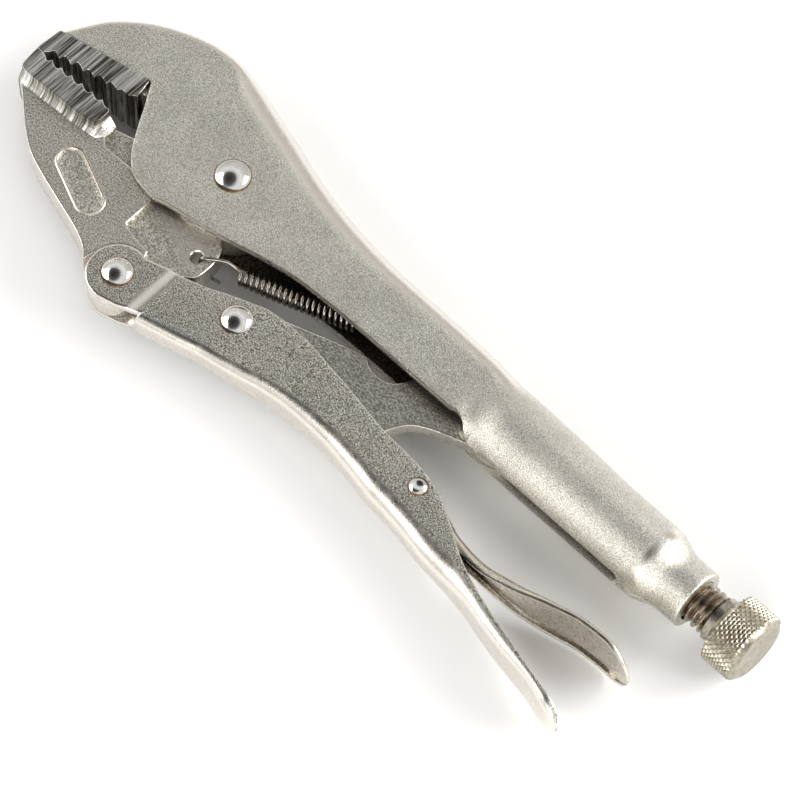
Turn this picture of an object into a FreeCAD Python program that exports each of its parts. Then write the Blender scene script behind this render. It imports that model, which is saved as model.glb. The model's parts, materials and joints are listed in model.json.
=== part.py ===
import FreeCAD, Part
import math
import os

# Locking pliers with straight serrated jaws, lying on one side.
# Working frame of the sketches: the main pivot is the origin, +X runs along the
# adjusting screw towards its knob, +Y points from the lever to the back of the
# fixed handle, and Z is the thickness, with the tool's mid plane at 0.
# Every sub-part gets the same Placement, which brings the middle of the tool's
# box to X = Y = 0 and the side that it lies on to Z = 0.

Vector = FreeCAD.Vector

doc = FreeCAD.newDocument("locking_pliers")
sheet = doc.addObject("Spreadsheet::Sheet", "dims")

DIMENSIONS = [
    # jaws
    ("jaw_reach", 62.7, "main pivot to the front faces of the jaws"),
    ("jaw_width", 16.7, "thickness of both toothed pads"),
    ("pad_length", 27.6, "length of the fixed jaw's toothed pad"),
    ("lower_pad_length", 26.2, "length of the moving jaw's toothed pad"),
    ("pad_height", 6.6, "height of each toothed pad at the front"),
    ("nip_drop", 8.5, "how far the nip of the jaws lies below the main pivot"),
    ("tooth_pitch", 3.45, "pitch of the teeth"),
    ("tooth_depth", 1.2, "depth of the teeth"),
    ("mouth_slope", 12.0, "slope of the fixed tooth line, degrees"),
    ("arm_width", 9.6, "thickness of the moving jaw's arm"),
    ("tang_width", 6.6, "thickness of the moving jaw's tang and of its end in the ears"),
    ("boss_radius", 16.0, "radius of the moving jaw's pivot boss"),
    ("recess_width", 7.0, "width of the plain recess in the arm"),
    ("recess_depth", 0.6, "depth of the plain recess in the arm"),
    ("spring_hole_radius", 1.7, "hole for the spring's front hook"),
    # pivots
    ("jaw_rivet_x", -1.9, "jaw to lever rivet, along X"),
    ("jaw_rivet_y", -39.1, "jaw to lever rivet, along Y"),
    ("link_rivet_x", 29.0, "lever to link rivet, along X"),
    ("link_rivet_y", -27.3, "lever to link rivet, along Y"),
    ("release_pin_x", 94.6, "release lever pin, along X"),
    ("release_pin_y", -29.1, "release lever pin, along Y"),
    # handle body
    ("body_width", 15.5, "width over the side plates of the handle body"),
    ("body_sheet", 2.2, "sheet thickness of the handle body"),
    ("back_height", 25.7, "height of the back's hump above the main pivot"),
    ("back_round", 3.8, "outer radius of the fold along the back"),
    ("channel_length", 86.0, "main pivot to where the channel closes to a tube"),
    ("screw_axis_drop", 1.1, "how far the screw axis lies below the main pivot"),
    ("tube_radius", 10.4, "outer radius of the round rear tube"),
    ("handle_length", 163.2, "main pivot to the end of the neck"),
    ("neck_length", 7.0, "straight length of the crimped neck"),
    ("neck_taper", 8.0, "length over which the tube narrows to the neck"),
    ("neck_radius", 8.2, "outer radius of the neck"),
    ("slot_width", 5.2, "slot in the tube for the link"),
    # adjusting screw
    ("screw_radius", 5.9, "outer radius of the screw's thread"),
    ("screw_gap", 6.6, "thread that shows between the neck and the collar"),
    ("collar_length", 2.4, "plain collar between the thread and the knob"),
    ("collar_radius", 6.3, "radius of the plain collar"),
    ("stub_radius", 4.0, "stub of the screw that carries the knob"),
    ("knob_radius", 9.9, "outer radius of the knurled knob"),
    ("knob_length", 10.9, "length of the knurled knob"),
    ("tail_reach", 19.3, "how far the link's tail reaches into the tube"),
    ("tail_gap", 2.8, "clearance between the link's tail and the screw's tip"),
    # lever
    ("lever_sheet", 2.1, "sheet thickness of the lever"),
    ("ear_width", 11.1, "width over the lever's ears"),
    ("ear_radius", 8.2, "radius of the ears round the jaw rivet"),
    ("lever_front_width", 9.3, "width over the lever's channel at the front"),
    ("lever_width", 12.4, "width over the lever's channel from the middle on"),
    ("lever_tail_width", 14.6, "width over the lever's tail"),
    ("lever_length", 164.5, "jaw rivet to the end of the lever's tail"),
    # link
    ("link_width", 4.2, "thickness of the link plate"),
    ("link_eye_radius", 6.6, "radius of the link's eye"),
    # release lever
    ("release_sheet", 1.5, "sheet thickness of the release lever"),
    ("release_width", 7.4, "width over the release lever's nose"),
    ("release_tail_width", 18.6, "width over the release lever's spoon"),
    ("release_tail_reach", 71.5, "release pin to the end of the spoon"),
    # rivets
    ("main_shank_radius", 3.3, "shank of the main rivet"),
    ("main_head_radius", 4.65, "head of the main rivet"),
    ("jaw_shank_radius", 2.8, "shank of the jaw rivet"),
    ("jaw_head_radius", 4.1, "head of the jaw rivet"),
    ("link_shank_radius", 2.8, "shank of the link rivet"),
    ("link_head_radius", 4.15, "head of the link rivet"),
    ("release_shank_radius", 1.5, "shank of the release lever pin"),
    ("release_head_radius", 2.4, "head of the release lever pin"),
    # spring
    ("spring_radius", 2.9, "outer radius of the spring's coils"),
    ("spring_wire", 0.95, "wire of the spring"),
    ("spring_length", 33.0, "length of the coiled stretch"),
    ("spring_tilt", 20.8, "slope of the spring's axis, degrees"),
    # fits
    ("running_fit", 0.05, "radial clearance of every hole that turns on its pin"),
    ("side_clearance", 0.12, "clearance each side between sliding flat faces"),
]

for row, (alias, value, meaning) in enumerate(DIMENSIONS, start=1):
    sheet.set("A%d" % row, meaning)
    sheet.set("B%d" % row, str(value))
    sheet.setAlias("B%d" % row, alias)
doc.recompute()


def size(alias):
    return float(sheet.get(alias))


jaw_reach = size("jaw_reach")
nip_drop = size("nip_drop")
axis_y = -size("screw_axis_drop")
body_sheet = size("body_sheet")
back_height = size("back_height")
channel_length = size("channel_length")
tube_radius = size("tube_radius")
handle_length = size("handle_length")
neck_radius = size("neck_radius")
running_fit = size("running_fit")
side_clearance = size("side_clearance")

plate_gap = size("body_width") - 2 * body_sheet
taper_end = handle_length - size("neck_length")
taper_start = taper_end - size("neck_taper")
link_tail_x = channel_length + size("tail_reach")
screw_tip_x = link_tail_x + size("tail_gap")
collar_x = handle_length + size("screw_gap")
knob_x = collar_x + size("collar_length")
knob_end = knob_x + size("knob_length")
jaw_rivet = Vector(size("jaw_rivet_x"), size("jaw_rivet_y"), 0)
link_rivet = Vector(size("link_rivet_x"), size("link_rivet_y"), 0)
release_pin = Vector(size("release_pin_x"), size("release_pin_y"), 0)
lever_end = jaw_rivet.x + size("lever_length")
LEVER_TAIL_DROP = 11.9      # the tail's spine below the jaw rivet
lever_bottom = jaw_rivet.y - LEVER_TAIL_DROP

home = FreeCAD.Placement()
home.Base = Vector(-(knob_end - jaw_reach) / 2, -(back_height + lever_bottom) / 2, tube_radius)


# ---------------------------------------------------------------- helpers

def new_body(label):
    body = doc.addObject("PartDesign::Body", label)
    body.Label = label
    return body


def origin_plane(body, role):
    return next(f for f in body.Origin.OriginFeatures if f.Role == role)


def add_sketch(body, name, role="XY_Plane", offset=0.0):
    sketch = body.newObject("Sketcher::SketchObject", name)
    sketch.AttachmentSupport = (origin_plane(body, role), [""])
    sketch.MapMode = "FlatFace"
    sketch.AttachmentOffset = FreeCAD.Placement(Vector(0, 0, offset), FreeCAD.Rotation())
    return sketch


def add_polygon(sketch, points):
    for first, second in zip(points, points[1:] + points[:1]):
        sketch.addGeometry(Part.LineSegment(Vector(*first[:2]), Vector(*second[:2])), False)


def add_curve(sketch, points):
    curve = Part.BSplineCurve()
    curve.interpolate([Vector(*p[:2]) for p in points])
    sketch.addGeometry(curve, False)


def add_chain(sketch, points):
    for first, second in zip(points, points[1:]):
        sketch.addGeometry(Part.LineSegment(Vector(*first[:2]), Vector(*second[:2])), False)


def add_circle(sketch, centre, radius_name):
    """A circle whose radius is bound to the sheet."""
    radius = size(radius_name)
    index = sketch.addGeometry(Part.Circle(Vector(centre.x, centre.y, 0), Vector(0, 0, 1), radius), False)
    number = sketch.addConstraint(bound("Radius", index, radius))
    sketch.renameConstraint(number, radius_name)
    sketch.setExpression("Constraints." + radius_name, "dims." + radius_name)
    return number


def bound(kind, index, value):
    import Sketcher
    return Sketcher.Constraint(kind, index, value)


def pad(body, name, sketch, length):
    """A pad to both sides of the mid plane; length is an expression."""
    feature = body.newObject("PartDesign::Pad", name)
    feature.Profile = sketch
    feature.Midplane = True
    feature.setExpression("Length", length)
    doc.recompute()
    return feature


def pocket(body, name, sketch, length):
    """A pocket to both sides of the mid plane; it must take material away."""
    before = body.Shape.Volume
    feature = body.newObject("PartDesign::Pocket", name)
    feature.Profile = sketch
    feature.Midplane = True
    feature.setExpression("Length", length)
    doc.recompute()
    if body.Shape.Volume >= before - 1e-3:
        raise RuntimeError(name + " takes nothing away")
    return feature


def hole_through(body, name, centre, radius_name, clearance=""):
    """A round hole right through, of the pin's radius plus an optional clearance."""
    sketch = add_sketch(body, name + "_sketch")
    number = add_circle(sketch, centre, radius_name)
    if clearance:
        sketch.setExpression("Constraints." + radius_name,
                             "dims.%s + dims.%s" % (radius_name, clearance))
    doc.recompute()
    return pocket(body, name, sketch, "dims.tube_radius * 4")


def offset_points(points, distance):
    """Points moved sideways, to the right of the direction of travel."""
    moved = []
    for i, point in enumerate(points):
        before = points[max(i - 1, 0)]
        after = points[min(i + 1, len(points) - 1)]
        along_x = after[0] - before[0]
        along_y = after[1] - before[1]
        length = math.hypot(along_x, along_y)
        moved.append((point[0] + distance * along_y / length, point[1] - distance * along_x / length))
    return moved


def tooth_line(start, end, pitch, depth, side):
    """A row of V teeth from start to end; side is +1 for valleys above the line."""
    length = math.hypot(end[0] - start[0], end[1] - start[1])
    count = max(int(length / pitch), 1)
    ux = (end[0] - start[0]) / length
    uy = (end[1] - start[1]) / length
    points = [start]
    for i in range(count):
        valley = (i + 0.5) * length / count
        crest = (i + 1) * length / count
        points.append((start[0] + ux * valley - uy * depth * side, start[1] + uy * valley + ux * depth * side))
        points.append((start[0] + ux * crest, start[1] + uy * crest))
    return points


def loft(body, name, sketches, cut=False):
    kind = "PartDesign::SubtractiveLoft" if cut else "PartDesign::AdditiveLoft"
    feature = body.newObject(kind, name)
    feature.Profile = sketches[0]
    feature.Sections = sketches[1:]
    feature.Ruled = True
    doc.recompute()
    return feature


def ellipse_section(body, name, station, centre_y, half_height, half_width):
    """An upright ellipse across the X axis."""
    sketch = add_sketch(body, name, "YZ_Plane", station)
    tall = half_height >= half_width
    major = max(half_height, half_width)
    minor = min(half_height, half_width)
    centre = Vector(centre_y, 0, 0)
    if major - minor < 1e-6:
        sketch.addGeometry(Part.Circle(centre, Vector(0, 0, 1), major), False)
        return sketch
    tip = Vector(centre_y + major, 0, 0) if tall else Vector(centre_y, major, 0)
    side = Vector(centre_y, minor, 0) if tall else Vector(centre_y - minor, 0, 0)
    sketch.addGeometry(Part.Ellipse(tip, side, centre), False)
    return sketch


def channel_section(body, name, station, spine, edge, half_width, corner, wall):
    """A folded channel across the X axis: a spine, two rounded folds and two side walls."""
    sketch = add_sketch(body, name, "YZ_Plane", station)
    up = 1 if edge > spine else -1
    fold = spine + up * corner
    flat = half_width - corner
    diagonal = math.sqrt(0.5)

    def arc(radius, side, outwards):
        first = Vector(fold, side * (flat + radius), 0)
        middle = Vector(fold - up * radius * diagonal, side * (flat + radius * diagonal), 0)
        last = Vector(fold - up * radius, side * flat, 0)
        ends = (first, middle, last) if outwards else (last, middle, first)
        return Part.Arc(*ends)

    def line(y1, z1, y2, z2):
        return Part.LineSegment(Vector(y1, z1, 0), Vector(y2, z2, 0))

    inner = corner - wall
    outer_wall = half_width
    inner_wall = half_width - wall
    pieces = [
        line(edge, outer_wall, fold, outer_wall),
        arc(corner, 1, True),
        line(spine, flat, spine, -flat),
        arc(corner, -1, False),
        line(fold, -outer_wall, edge, -outer_wall),
        line(edge, -outer_wall, edge, -inner_wall),
        line(edge, -inner_wall, fold, -inner_wall),
        arc(inner, -1, True),
        line(spine + up * wall, -flat, spine + up * wall, flat),
        arc(inner, 1, False),
        line(fold, inner_wall, edge, inner_wall),
        line(edge, inner_wall, edge, outer_wall),
    ]
    for piece in pieces:
        sketch.addGeometry(piece, False)
    return sketch


def finish(body):
    body.Placement = home
    return body


# ---------------------------------------------------------------- shared outlines

jaw_scale = jaw_reach / 62.7
hump_scale = back_height / 25.7

# both jaws' pads
pad_front = -jaw_reach
pad_rear = pad_front + size("pad_length")
slope = math.radians(size("mouth_slope"))
nip = (pad_front, -nip_drop)
fixed_tooth_end = (pad_rear + 1.4, -nip_drop + 1.4 + (size("pad_length") - 1.0) * math.tan(slope))
pad_top_front = (pad_front + 0.7, -nip_drop + size("pad_height") + 1.0)
pad_top_rear = (pad_rear, pad_top_front[1] + (size("pad_length") - 0.7) * math.tan(slope))

# the back of the handle body, from the nose over the hump to the tube
BACK_FRONT = [(-61.8, -0.7), (-56.4, 9.9), (-48.0, 17.6), (-36.0, 23.5), (-23.4, 25.7), (-15.6, 25.2)]
back_front = [(x * jaw_scale, y * hump_scale) for x, y in BACK_FRONT]
back_front[0] = (pad_top_front[0] + 0.2, pad_top_front[1] + 0.2 * math.tan(slope) + 0.03)
tube_top = axis_y + tube_radius + 2.0
back_rear = [
    (back_front[-1][0], back_front[-1][1]),
    (0.2 * channel_length, tube_top + 5.2 * hump_scale),
    (0.4 * channel_length, tube_top + 2.2),
    (0.57 * channel_length, tube_top + 0.8),
    (0.8 * channel_length, tube_top + 0.6),
    (channel_length, tube_top),
]


# ---------------------------------------------------------------- handle body

def make_handle_body():
    """Folded sheet: a channel in front, a round slotted tube behind, a crimped neck."""
    body = new_body("handle_body")
    outline = add_sketch(body, "side_outline")
    add_curve(outline, back_front)
    add_curve(outline, back_rear)
    mouth_side = [
        back_rear[-1],
        (channel_length, -8.4),
        (0.465 * channel_length, -8.7),
        (22.8, -10.8),
        (-6.5, -17.4),
        (-12.5, -18.6),
        (-19.2, -16.8),
        (-24.1, -12.3),
        (-29.4, -4.0),
        (pad_top_rear[0], pad_top_rear[1] + 0.03),
        back_front[0],
    ]
    add_chain(outline, mouth_side)
    doc.recompute()
    plates = pad(body, "side_plates", outline, "dims.body_width")

    back_edges = []
    for i, edge in enumerate(plates.Shape.Edges, start=1):
        box = edge.BoundBox
        is_side = box.ZMax - box.ZMin < 1e-6
        is_curved = edge.Curve.TypeId == "Part::GeomBSplineCurve"
        if is_side and is_curved:
            back_edges.append("Edge%d" % i)
    fold = body.newObject("PartDesign::Fillet", "back_fold")
    fold.Base = (plates, back_edges)
    fold.setExpression("Radius", "dims.back_round")
    doc.recompute()

    # the rear tube: (station, top, bottom, half width) of ellipses
    width = size("body_width") / 2
    bottom = axis_y - tube_radius
    top = axis_y + tube_radius
    stations = [
        (channel_length - 2, tube_top, bottom + 0.6, width - 0.05),
        (channel_length + 12, tube_top - 0.5, bottom, width + 0.55 * (tube_radius - width)),
        (channel_length + 30, top + 0.9, bottom, tube_radius - 0.3),
        (channel_length + 46, top + 0.1, bottom, tube_radius),
        (taper_start, top, bottom, tube_radius),
        (taper_end, axis_y + neck_radius, axis_y - neck_radius, neck_radius),
        (handle_length, axis_y + neck_radius, axis_y - neck_radius, neck_radius),
    ]
    outer = []
    for i, (x, high, low, half) in enumerate(stations):
        outer.append(ellipse_section(body, "tube_section_%d" % i, x, (high + low) / 2, (high - low) / 2, half))
    loft(body, "rear_tube", outer)

    hollow = add_sketch(body, "channel_hollow")
    inner_front = offset_points(back_front, body_sheet)
    inner_rear = offset_points(back_rear, body_sheet)
    inner_rear[0] = inner_front[-1]
    add_curve(hollow, inner_front)
    add_curve(hollow, inner_rear)
    floor = axis_y - 4 * tube_radius
    add_chain(hollow, [inner_rear[-1], (inner_rear[-1][0], floor), (inner_front[0][0], floor), inner_front[0]])
    doc.recompute()
    pocket(body, "channel_inside", hollow, "dims.body_width - 2 * dims.body_sheet")

    inner = []
    bore_end = taper_start - 1
    for i, (x, high, low, half) in enumerate(stations[:4] + [(bore_end, top, bottom, tube_radius)]):
        start = x - 1 if i == 0 else x
        inner.append(ellipse_section(body, "bore_section_%d" % i, start, (high + low) / 2,
                                     (high - low) / 2 - body_sheet, half - body_sheet))
    loft(body, "tube_bore", inner, cut=True)

    slot = add_sketch(body, "link_slot_sketch")
    slot_end = taper_start - 3
    add_polygon(slot, [(channel_length - 6, axis_y), (slot_end, axis_y), (slot_end, floor), (channel_length - 6, floor)])
    doc.recompute()
    pocket(body, "link_slot", slot, "dims.slot_width")

    thread = add_sketch(body, "thread_bore_sketch", "YZ_Plane", bore_end - 2)
    number = add_circle(thread, Vector(axis_y, 0, 0), "screw_radius")
    thread.setExpression("Constraints.screw_radius", "dims.screw_radius + dims.running_fit")
    doc.recompute()
    before = body.Shape.Volume
    bore = body.newObject("PartDesign::Pocket", "thread_bore")
    bore.Profile = thread
    bore.Reversed = True
    bore.Length = handle_length - bore_end + 4
    doc.recompute()
    if body.Shape.Volume >= before - 1:
        raise RuntimeError("the thread bore takes nothing away")

    hole_through(body, "main_rivet_hole", Vector(0, 0, 0), "main_shank_radius")

    # the tab that the spring's rear hook catches, lanced from the back
    tab = add_sketch(body, "spring_tab_sketch")
    tab_top = tube_top + 0.6 - body_sheet / 2
    add_polygon(tab, [(spring_tab_x - 1, tab_top), (spring_tab_x + 1, tab_top),
                      (spring_tab_x + 1, spring_tab_y - 1.2), (spring_tab_x - 1, spring_tab_y - 1.2)])
    doc.recompute()
    pad(body, "spring_tab", tab, "dims.spring_radius * 2")
    return finish(body)


# ---------------------------------------------------------------- jaws

def make_fixed_jaw():
    """A forging: a full width toothed pad on a tongue that is welded between the plates."""
    body = new_body("fixed_jaw")
    tongue = add_sketch(body, "tongue_outline")
    roof = offset_points(back_front, body_sheet + side_clearance)[:5]
    reach = size("boss_radius") + 0.5
    boss_side = []
    for angle in (128, 143, 158, 172):
        boss_side.append((reach * math.cos(math.radians(angle)), reach * math.sin(math.radians(angle))))
    add_curve(tongue, roof)
    add_chain(tongue, [roof[-1]] + boss_side
              + [(boss_side[-1][0] - 4, 0.5), (fixed_tooth_end[0], fixed_tooth_end[1] + 2.5)]
              + [(pad_front + 3.5, -nip_drop + 4.0), roof[0]])
    doc.recompute()
    pad(body, "tongue", tongue, "dims.body_width - 2 * dims.body_sheet")

    block = add_sketch(body, "pad_outline")
    teeth = tooth_line((nip[0] + 2.4, nip[1] + 0.2), fixed_tooth_end, size("tooth_pitch"), size("tooth_depth"), 1)
    add_polygon(block, [nip] + teeth + [pad_top_rear, pad_top_front])
    doc.recompute()
    pad(body, "toothed_pad", block, "dims.jaw_width")
    return finish(body)


def make_moving_jaw():
    """A forging: toothed pad, arm, and a thin tang with a pivot boss."""
    body = new_body("moving_jaw")
    end = jaw_rivet
    foot_rear = pad_front + size("lower_pad_length")
    web = add_sketch(body, "web_outline")
    tang = [
        (pad_front + 3.4, nip[1] - 4.0),
        (foot_rear + 3.0, nip[1] - 1.0),
        (-24.0, nip[1] + 1.5),
        (-15.0, 0.0),
        (-8.0, 8.0),
        (6.0, 8.0),
        (9.4, -13.3),
        (12.0, -16.0),
        (12.9, -20.5),
        (12.3, -25.6),
        (9.0, -28.2),
        (end.x + 8.0, end.y + 3.0),
    ]
    round_end = []
    for angle in (0, -30, -60, -90, -120, -150, -175):
        turn = math.radians(angle)
        radius = size("ear_radius") + 0.1
        round_end.append((end.x + radius * math.cos(turn), end.y + radius * math.sin(turn)))
    outer_side = [
        (-14.3, -39.2),
        (-19.2, -37.2),
        (-27.5, -34.9),
        (-36.0, -32.6),
        (-43.0, -29.8),
        (-50.0, -25.4),
        (-56.0, -20.6),
        (pad_front + 2.9, -17.6),
    ]
    add_polygon(web, tang + round_end + outer_side)
    doc.recompute()
    pad(body, "web", web, "dims.tang_width")

    arm = add_sketch(body, "arm_outline")
    ear_edge = []
    ear_clear = size("ear_radius") + 0.4
    for angle in (80, 100, 123, 148, 172):
        turn = math.radians(angle)
        ear_edge.append((end.x + ear_clear * math.cos(turn), end.y + ear_clear * math.sin(turn)))
    add_polygon(arm, [(pad_front + 3.0, nip[1] - 5.0), (foot_rear + 2.5, -15.9), (-21.6, -15.2), (-10.8, -15.2),
                      (-10.8, -27.7), (0.0, -29.5)] + ear_edge + outer_side)
    doc.recompute()
    pad(body, "arm", arm, "dims.arm_width")

    block = add_sketch(body, "pad_outline")
    low = nip[1] - size("pad_height")
    teeth = tooth_line((nip[0] + 2.4, nip[1] - 0.2), (foot_rear, nip[1] + 0.6),
                       size("tooth_pitch"), size("tooth_depth"), -1)
    add_polygon(block, [(nip[0], nip[1] - 0.1)] + teeth
                + [(foot_rear, low + 2.8), (foot_rear - 1.2, low + 0.6), (nip[0] + 1.8, low - 0.4), (nip[0] + 0.9, low + 0.4)])
    doc.recompute()
    pad(body, "toothed_pad", block, "dims.jaw_width")

    boss = add_sketch(body, "boss_outline")
    add_circle(boss, Vector(0, 0, 0), "boss_radius")
    doc.recompute()
    pad(body, "boss", boss, "dims.body_width - 2 * dims.body_sheet - 2 * dims.side_clearance")

    # a shallow plain recess with round ends on the arm's face
    recess = add_sketch(body, "recess_outline", "XY_Plane", size("arm_width") / 2)
    first = Vector(-33.9, -24.6, 0)
    last = Vector(-21.9, -29.6, 0)
    half = size("recess_width") / 2
    along = (last - first).normalize()
    side = Vector(-along.y, along.x, 0) * half
    recess.addGeometry(Part.LineSegment(first + side, last + side), False)
    recess.addGeometry(Part.Arc(last + side, last + along * half, last - side), False)
    recess.addGeometry(Part.LineSegment(last - side, first - side), False)
    recess.addGeometry(Part.Arc(first - side, first - along * half, first + side), False)
    doc.recompute()
    pocket(body, "plain_recess", recess, "2 * dims.recess_depth")

    hole_through(body, "pivot_hole", Vector(0, 0, 0), "main_shank_radius", "running_fit")
    hole_through(body, "jaw_rivet_hole", jaw_rivet, "jaw_shank_radius", "running_fit")
    hole_through(body, "spring_hole", spring_hole, "spring_hole_radius")
    return finish(body)


# ---------------------------------------------------------------- lever, link and release lever

def lever_stations():
    """(station, spine, edge, half width, fold radius) of the lever's channel."""
    front = size("lever_front_width") / 2
    middle = size("lever_width") / 2
    tail = size("lever_tail_width") / 2
    length = lever_end - 10.0
    base = jaw_rivet.y
    shares = [
        (0.00, -5.9, 10.5, front, 2.5),
        (0.08, -3.0, 14.9, front, 2.5),
        (0.17, 0.1, 19.7, front, 2.6),
        (0.21, 1.3, 20.1, front + 0.15 * (middle - front), 2.7),
        (0.28, 3.1, 19.4, front + 0.65 * (middle - front), 3.0),
        (0.36, 3.1, 17.4, middle, 3.2),
        (0.46, 1.5, 15.5, middle, 3.8),
        (0.55, 0.0, 14.2, middle, 4.4),
        (0.64, -2.3, 8.7, middle, 4.6),
        (0.71, -3.6, 3.4, middle, 4.6),
        (0.80, -5.9, -1.2, middle + 0.3 * (tail - middle), 3.4),
        (0.90, -8.7, -5.8, middle + 0.7 * (tail - middle), 2.5),
        (1.00, -LEVER_TAIL_DROP, -9.1, tail, 2.4),
    ]
    return [(10.0 + share * length, base + spine, base + edge, half, fold)
            for share, spine, edge, half, fold in shares]


def make_lever():
    """Folded channel with two ears round the jaw rivet and a long curved tail."""
    body = new_body("lever")
    wall = size("lever_sheet")
    sections = []
    for i, (x, spine, edge, half, fold) in enumerate(lever_stations()):
        sections.append(channel_section(body, "lever_section_%d" % i, x, spine, edge, half, max(fold, wall + 0.3), wall))
    loft(body, "channel", sections)

    # the ears stand a little wider than the channel and overlap it by a joggle
    ears = add_sketch(body, "ear_outline")
    first = lever_stations()[0]
    points = []
    for angle in range(75, 301, 25):
        turn = math.radians(angle)
        points.append((jaw_rivet.x + size("ear_radius") * math.cos(turn),
                       jaw_rivet.y + size("ear_radius") * math.sin(turn)))
    add_polygon(ears, points + [(first[0] + 0.6, first[1] + 2.6), (first[0] + 0.6, first[2] + 0.1)])
    doc.recompute()
    pad(body, "ears", ears, "dims.ear_width")
    gap = add_sketch(body, "ear_gap_sketch")
    add_polygon(gap, [(jaw_rivet.x - 20, jaw_rivet.y - 20), (first[0] - 0.1, jaw_rivet.y - 20),
                      (first[0] - 0.1, first[2] + 20), (jaw_rivet.x - 20, first[2] + 20)])
    doc.recompute()
    pocket(body, "ear_gap", gap, "dims.tang_width + 2 * dims.side_clearance")
    channel = add_sketch(body, "channel_gap_sketch")
    add_polygon(channel, [(first[0] - 0.2, first[1] + wall), (first[0] + 3, first[1] + wall + 1.2),
                          (first[0] + 3, first[2] + 20), (first[0] - 0.2, first[2] + 20)])
    doc.recompute()
    pocket(body, "channel_gap", channel, "dims.lever_front_width - 2 * dims.lever_sheet")

    # the tail's end is rounded off
    tail = add_sketch(body, "tail_round_sketch", "XZ_Plane")
    half = size("lever_tail_width") / 2
    reach = 7.0
    end = lever_end
    tail.addGeometry(Part.Arc(Vector(end - reach, half, 0), Vector(end, 0, 0), Vector(end - reach, -half, 0)), False)
    add_chain(tail, [(end - reach, -half), (end - reach, -half - 3), (end + 3, -half - 3), (end + 3, half + 3),
                     (end - reach, half + 3), (end - reach, half)])
    doc.recompute()
    pocket(body, "tail_round", tail, "dims.lever_length * 2")

    hole_through(body, "jaw_rivet_hole", jaw_rivet, "jaw_shank_radius")
    hole_through(body, "link_rivet_hole", link_rivet, "link_shank_radius")
    hole_through(body, "release_pin_hole", release_pin, "release_shank_radius")
    return finish(body)


def make_toggle_link():
    """A flat plate from the lever to the tip of the adjusting screw."""
    body = new_body("toggle_link")
    outline = add_sketch(body, "link_outline")
    eye = size("link_eye_radius")
    points = []
    for angle in (118, 150, 180, 210, 240, 270):
        turn = math.radians(angle)
        points.append((link_rivet.x + eye * math.cos(turn), link_rivet.y + eye * math.sin(turn)))
    tail = link_tail_x
    slot_x = channel_length + 15.0
    lower = [
        (0.62 * channel_length, -30.2),
        (0.85 * channel_length, -26.4),
        (0.885 * channel_length, -24.6),
        (0.893 * channel_length, -21.6),
        (0.925 * channel_length, -17.2),
        (0.97 * channel_length, -14.4),
        (channel_length + 2.5, -12.4),
        (slot_x - 6.5, -10.4),
        (slot_x, -9.4),
        (tail - 1.2, axis_y - 5.0),
    ]
    bearing = [(tail, axis_y - 2.4), (tail, axis_y + 2.4), (tail - 1.6, axis_y + 4.2)]
    upper = [
        (channel_length + 4.0, axis_y + 4.0),
        (0.86 * channel_length, -4.0),
        (0.815 * channel_length, -8.9),
        (0.795 * channel_length, -11.6),
        (0.765 * channel_length, -12.7),
        (0.730 * channel_length, -12.9),
        (0.700 * channel_length, -11.7),
        (0.690 * channel_length, -10.8),
        (0.650 * channel_length, -11.5),
        (0.420 * channel_length, -18.2),
    ]
    add_polygon(outline, points + lower + bearing + upper)
    doc.recompute()
    pad(body, "plate", outline, "dims.link_width")
    hole_through(body, "link_rivet_hole", link_rivet, "link_shank_radius", "running_fit")
    return finish(body)


def make_release_lever():
    """A narrow channel inside the lever that flares to a spoon between the handles."""
    body = new_body("release_lever")
    wall = size("release_sheet")
    nose = size("release_width") / 2
    spoon = size("release_tail_width") / 2
    reach = size("release_tail_reach")
    base = release_pin.y
    # (share of the reach from the pin, spine, edge, half width)
    shares = [
        (-0.290, -1.2, -3.9, nose),
        (-0.150, 1.9, -4.3, nose),
        (0.000, 2.9, -4.4, nose),
        (0.130, 1.2, -4.2, nose),
        (0.240, -1.1, -4.7, nose),
        (0.360, -2.2, -4.9, nose + 0.3),
        (0.500, -1.3, -3.9, nose + 1.9),
        (0.660, 0.9, -1.4, 0.88 * spoon),
        (0.790, 3.0, 0.7, spoon),
        (0.900, 3.3, 1.0, spoon),
        (1.000, 2.0, -0.3, 0.96 * spoon),
    ]
    sections = []
    for i, (share, spine, edge, half) in enumerate(shares):
        sections.append(channel_section(body, "release_section_%d" % i, release_pin.x + share * reach,
                                        base + spine, base + edge, half, wall + 0.3, wall))
    loft(body, "channel", sections)

    tail = add_sketch(body, "spoon_round_sketch", "XZ_Plane")
    end = release_pin.x + reach
    depth = 9.0
    tail.addGeometry(Part.Arc(Vector(end - depth, spoon, 0), Vector(end, 0, 0), Vector(end - depth, -spoon, 0)), False)
    add_chain(tail, [(end - depth, -spoon), (end - depth, -spoon - 3), (end + 3, -spoon - 3), (end + 3, spoon + 3),
                     (end - depth, spoon + 3), (end - depth, spoon)])
    doc.recompute()
    pocket(body, "spoon_round", tail, "dims.lever_length * 2")
    hole_through(body, "pin_hole", release_pin, "release_shank_radius", "running_fit")
    return finish(body)


# ---------------------------------------------------------------- adjusting screw and knob

def revolved(label, profile):
    """A body turned round the screw axis from (station, radius) points."""
    body = new_body(label)
    sketch = add_sketch(body, label + "_profile")
    add_polygon(sketch, [(x, axis_y + r) for x, r in profile])
    # the screw axis is drawn as the sketch's construction line
    length = handle_length
    index = sketch.addGeometry(Part.LineSegment(Vector(0, axis_y, 0), Vector(length, axis_y, 0)), True)
    doc.recompute()
    feature = body.newObject("PartDesign::Revolution", label + "_turned")
    feature.Profile = sketch
    feature.ReferenceAxis = (sketch, ["Axis0"])
    feature.Angle = 360.0
    doc.recompute()
    return body


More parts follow.
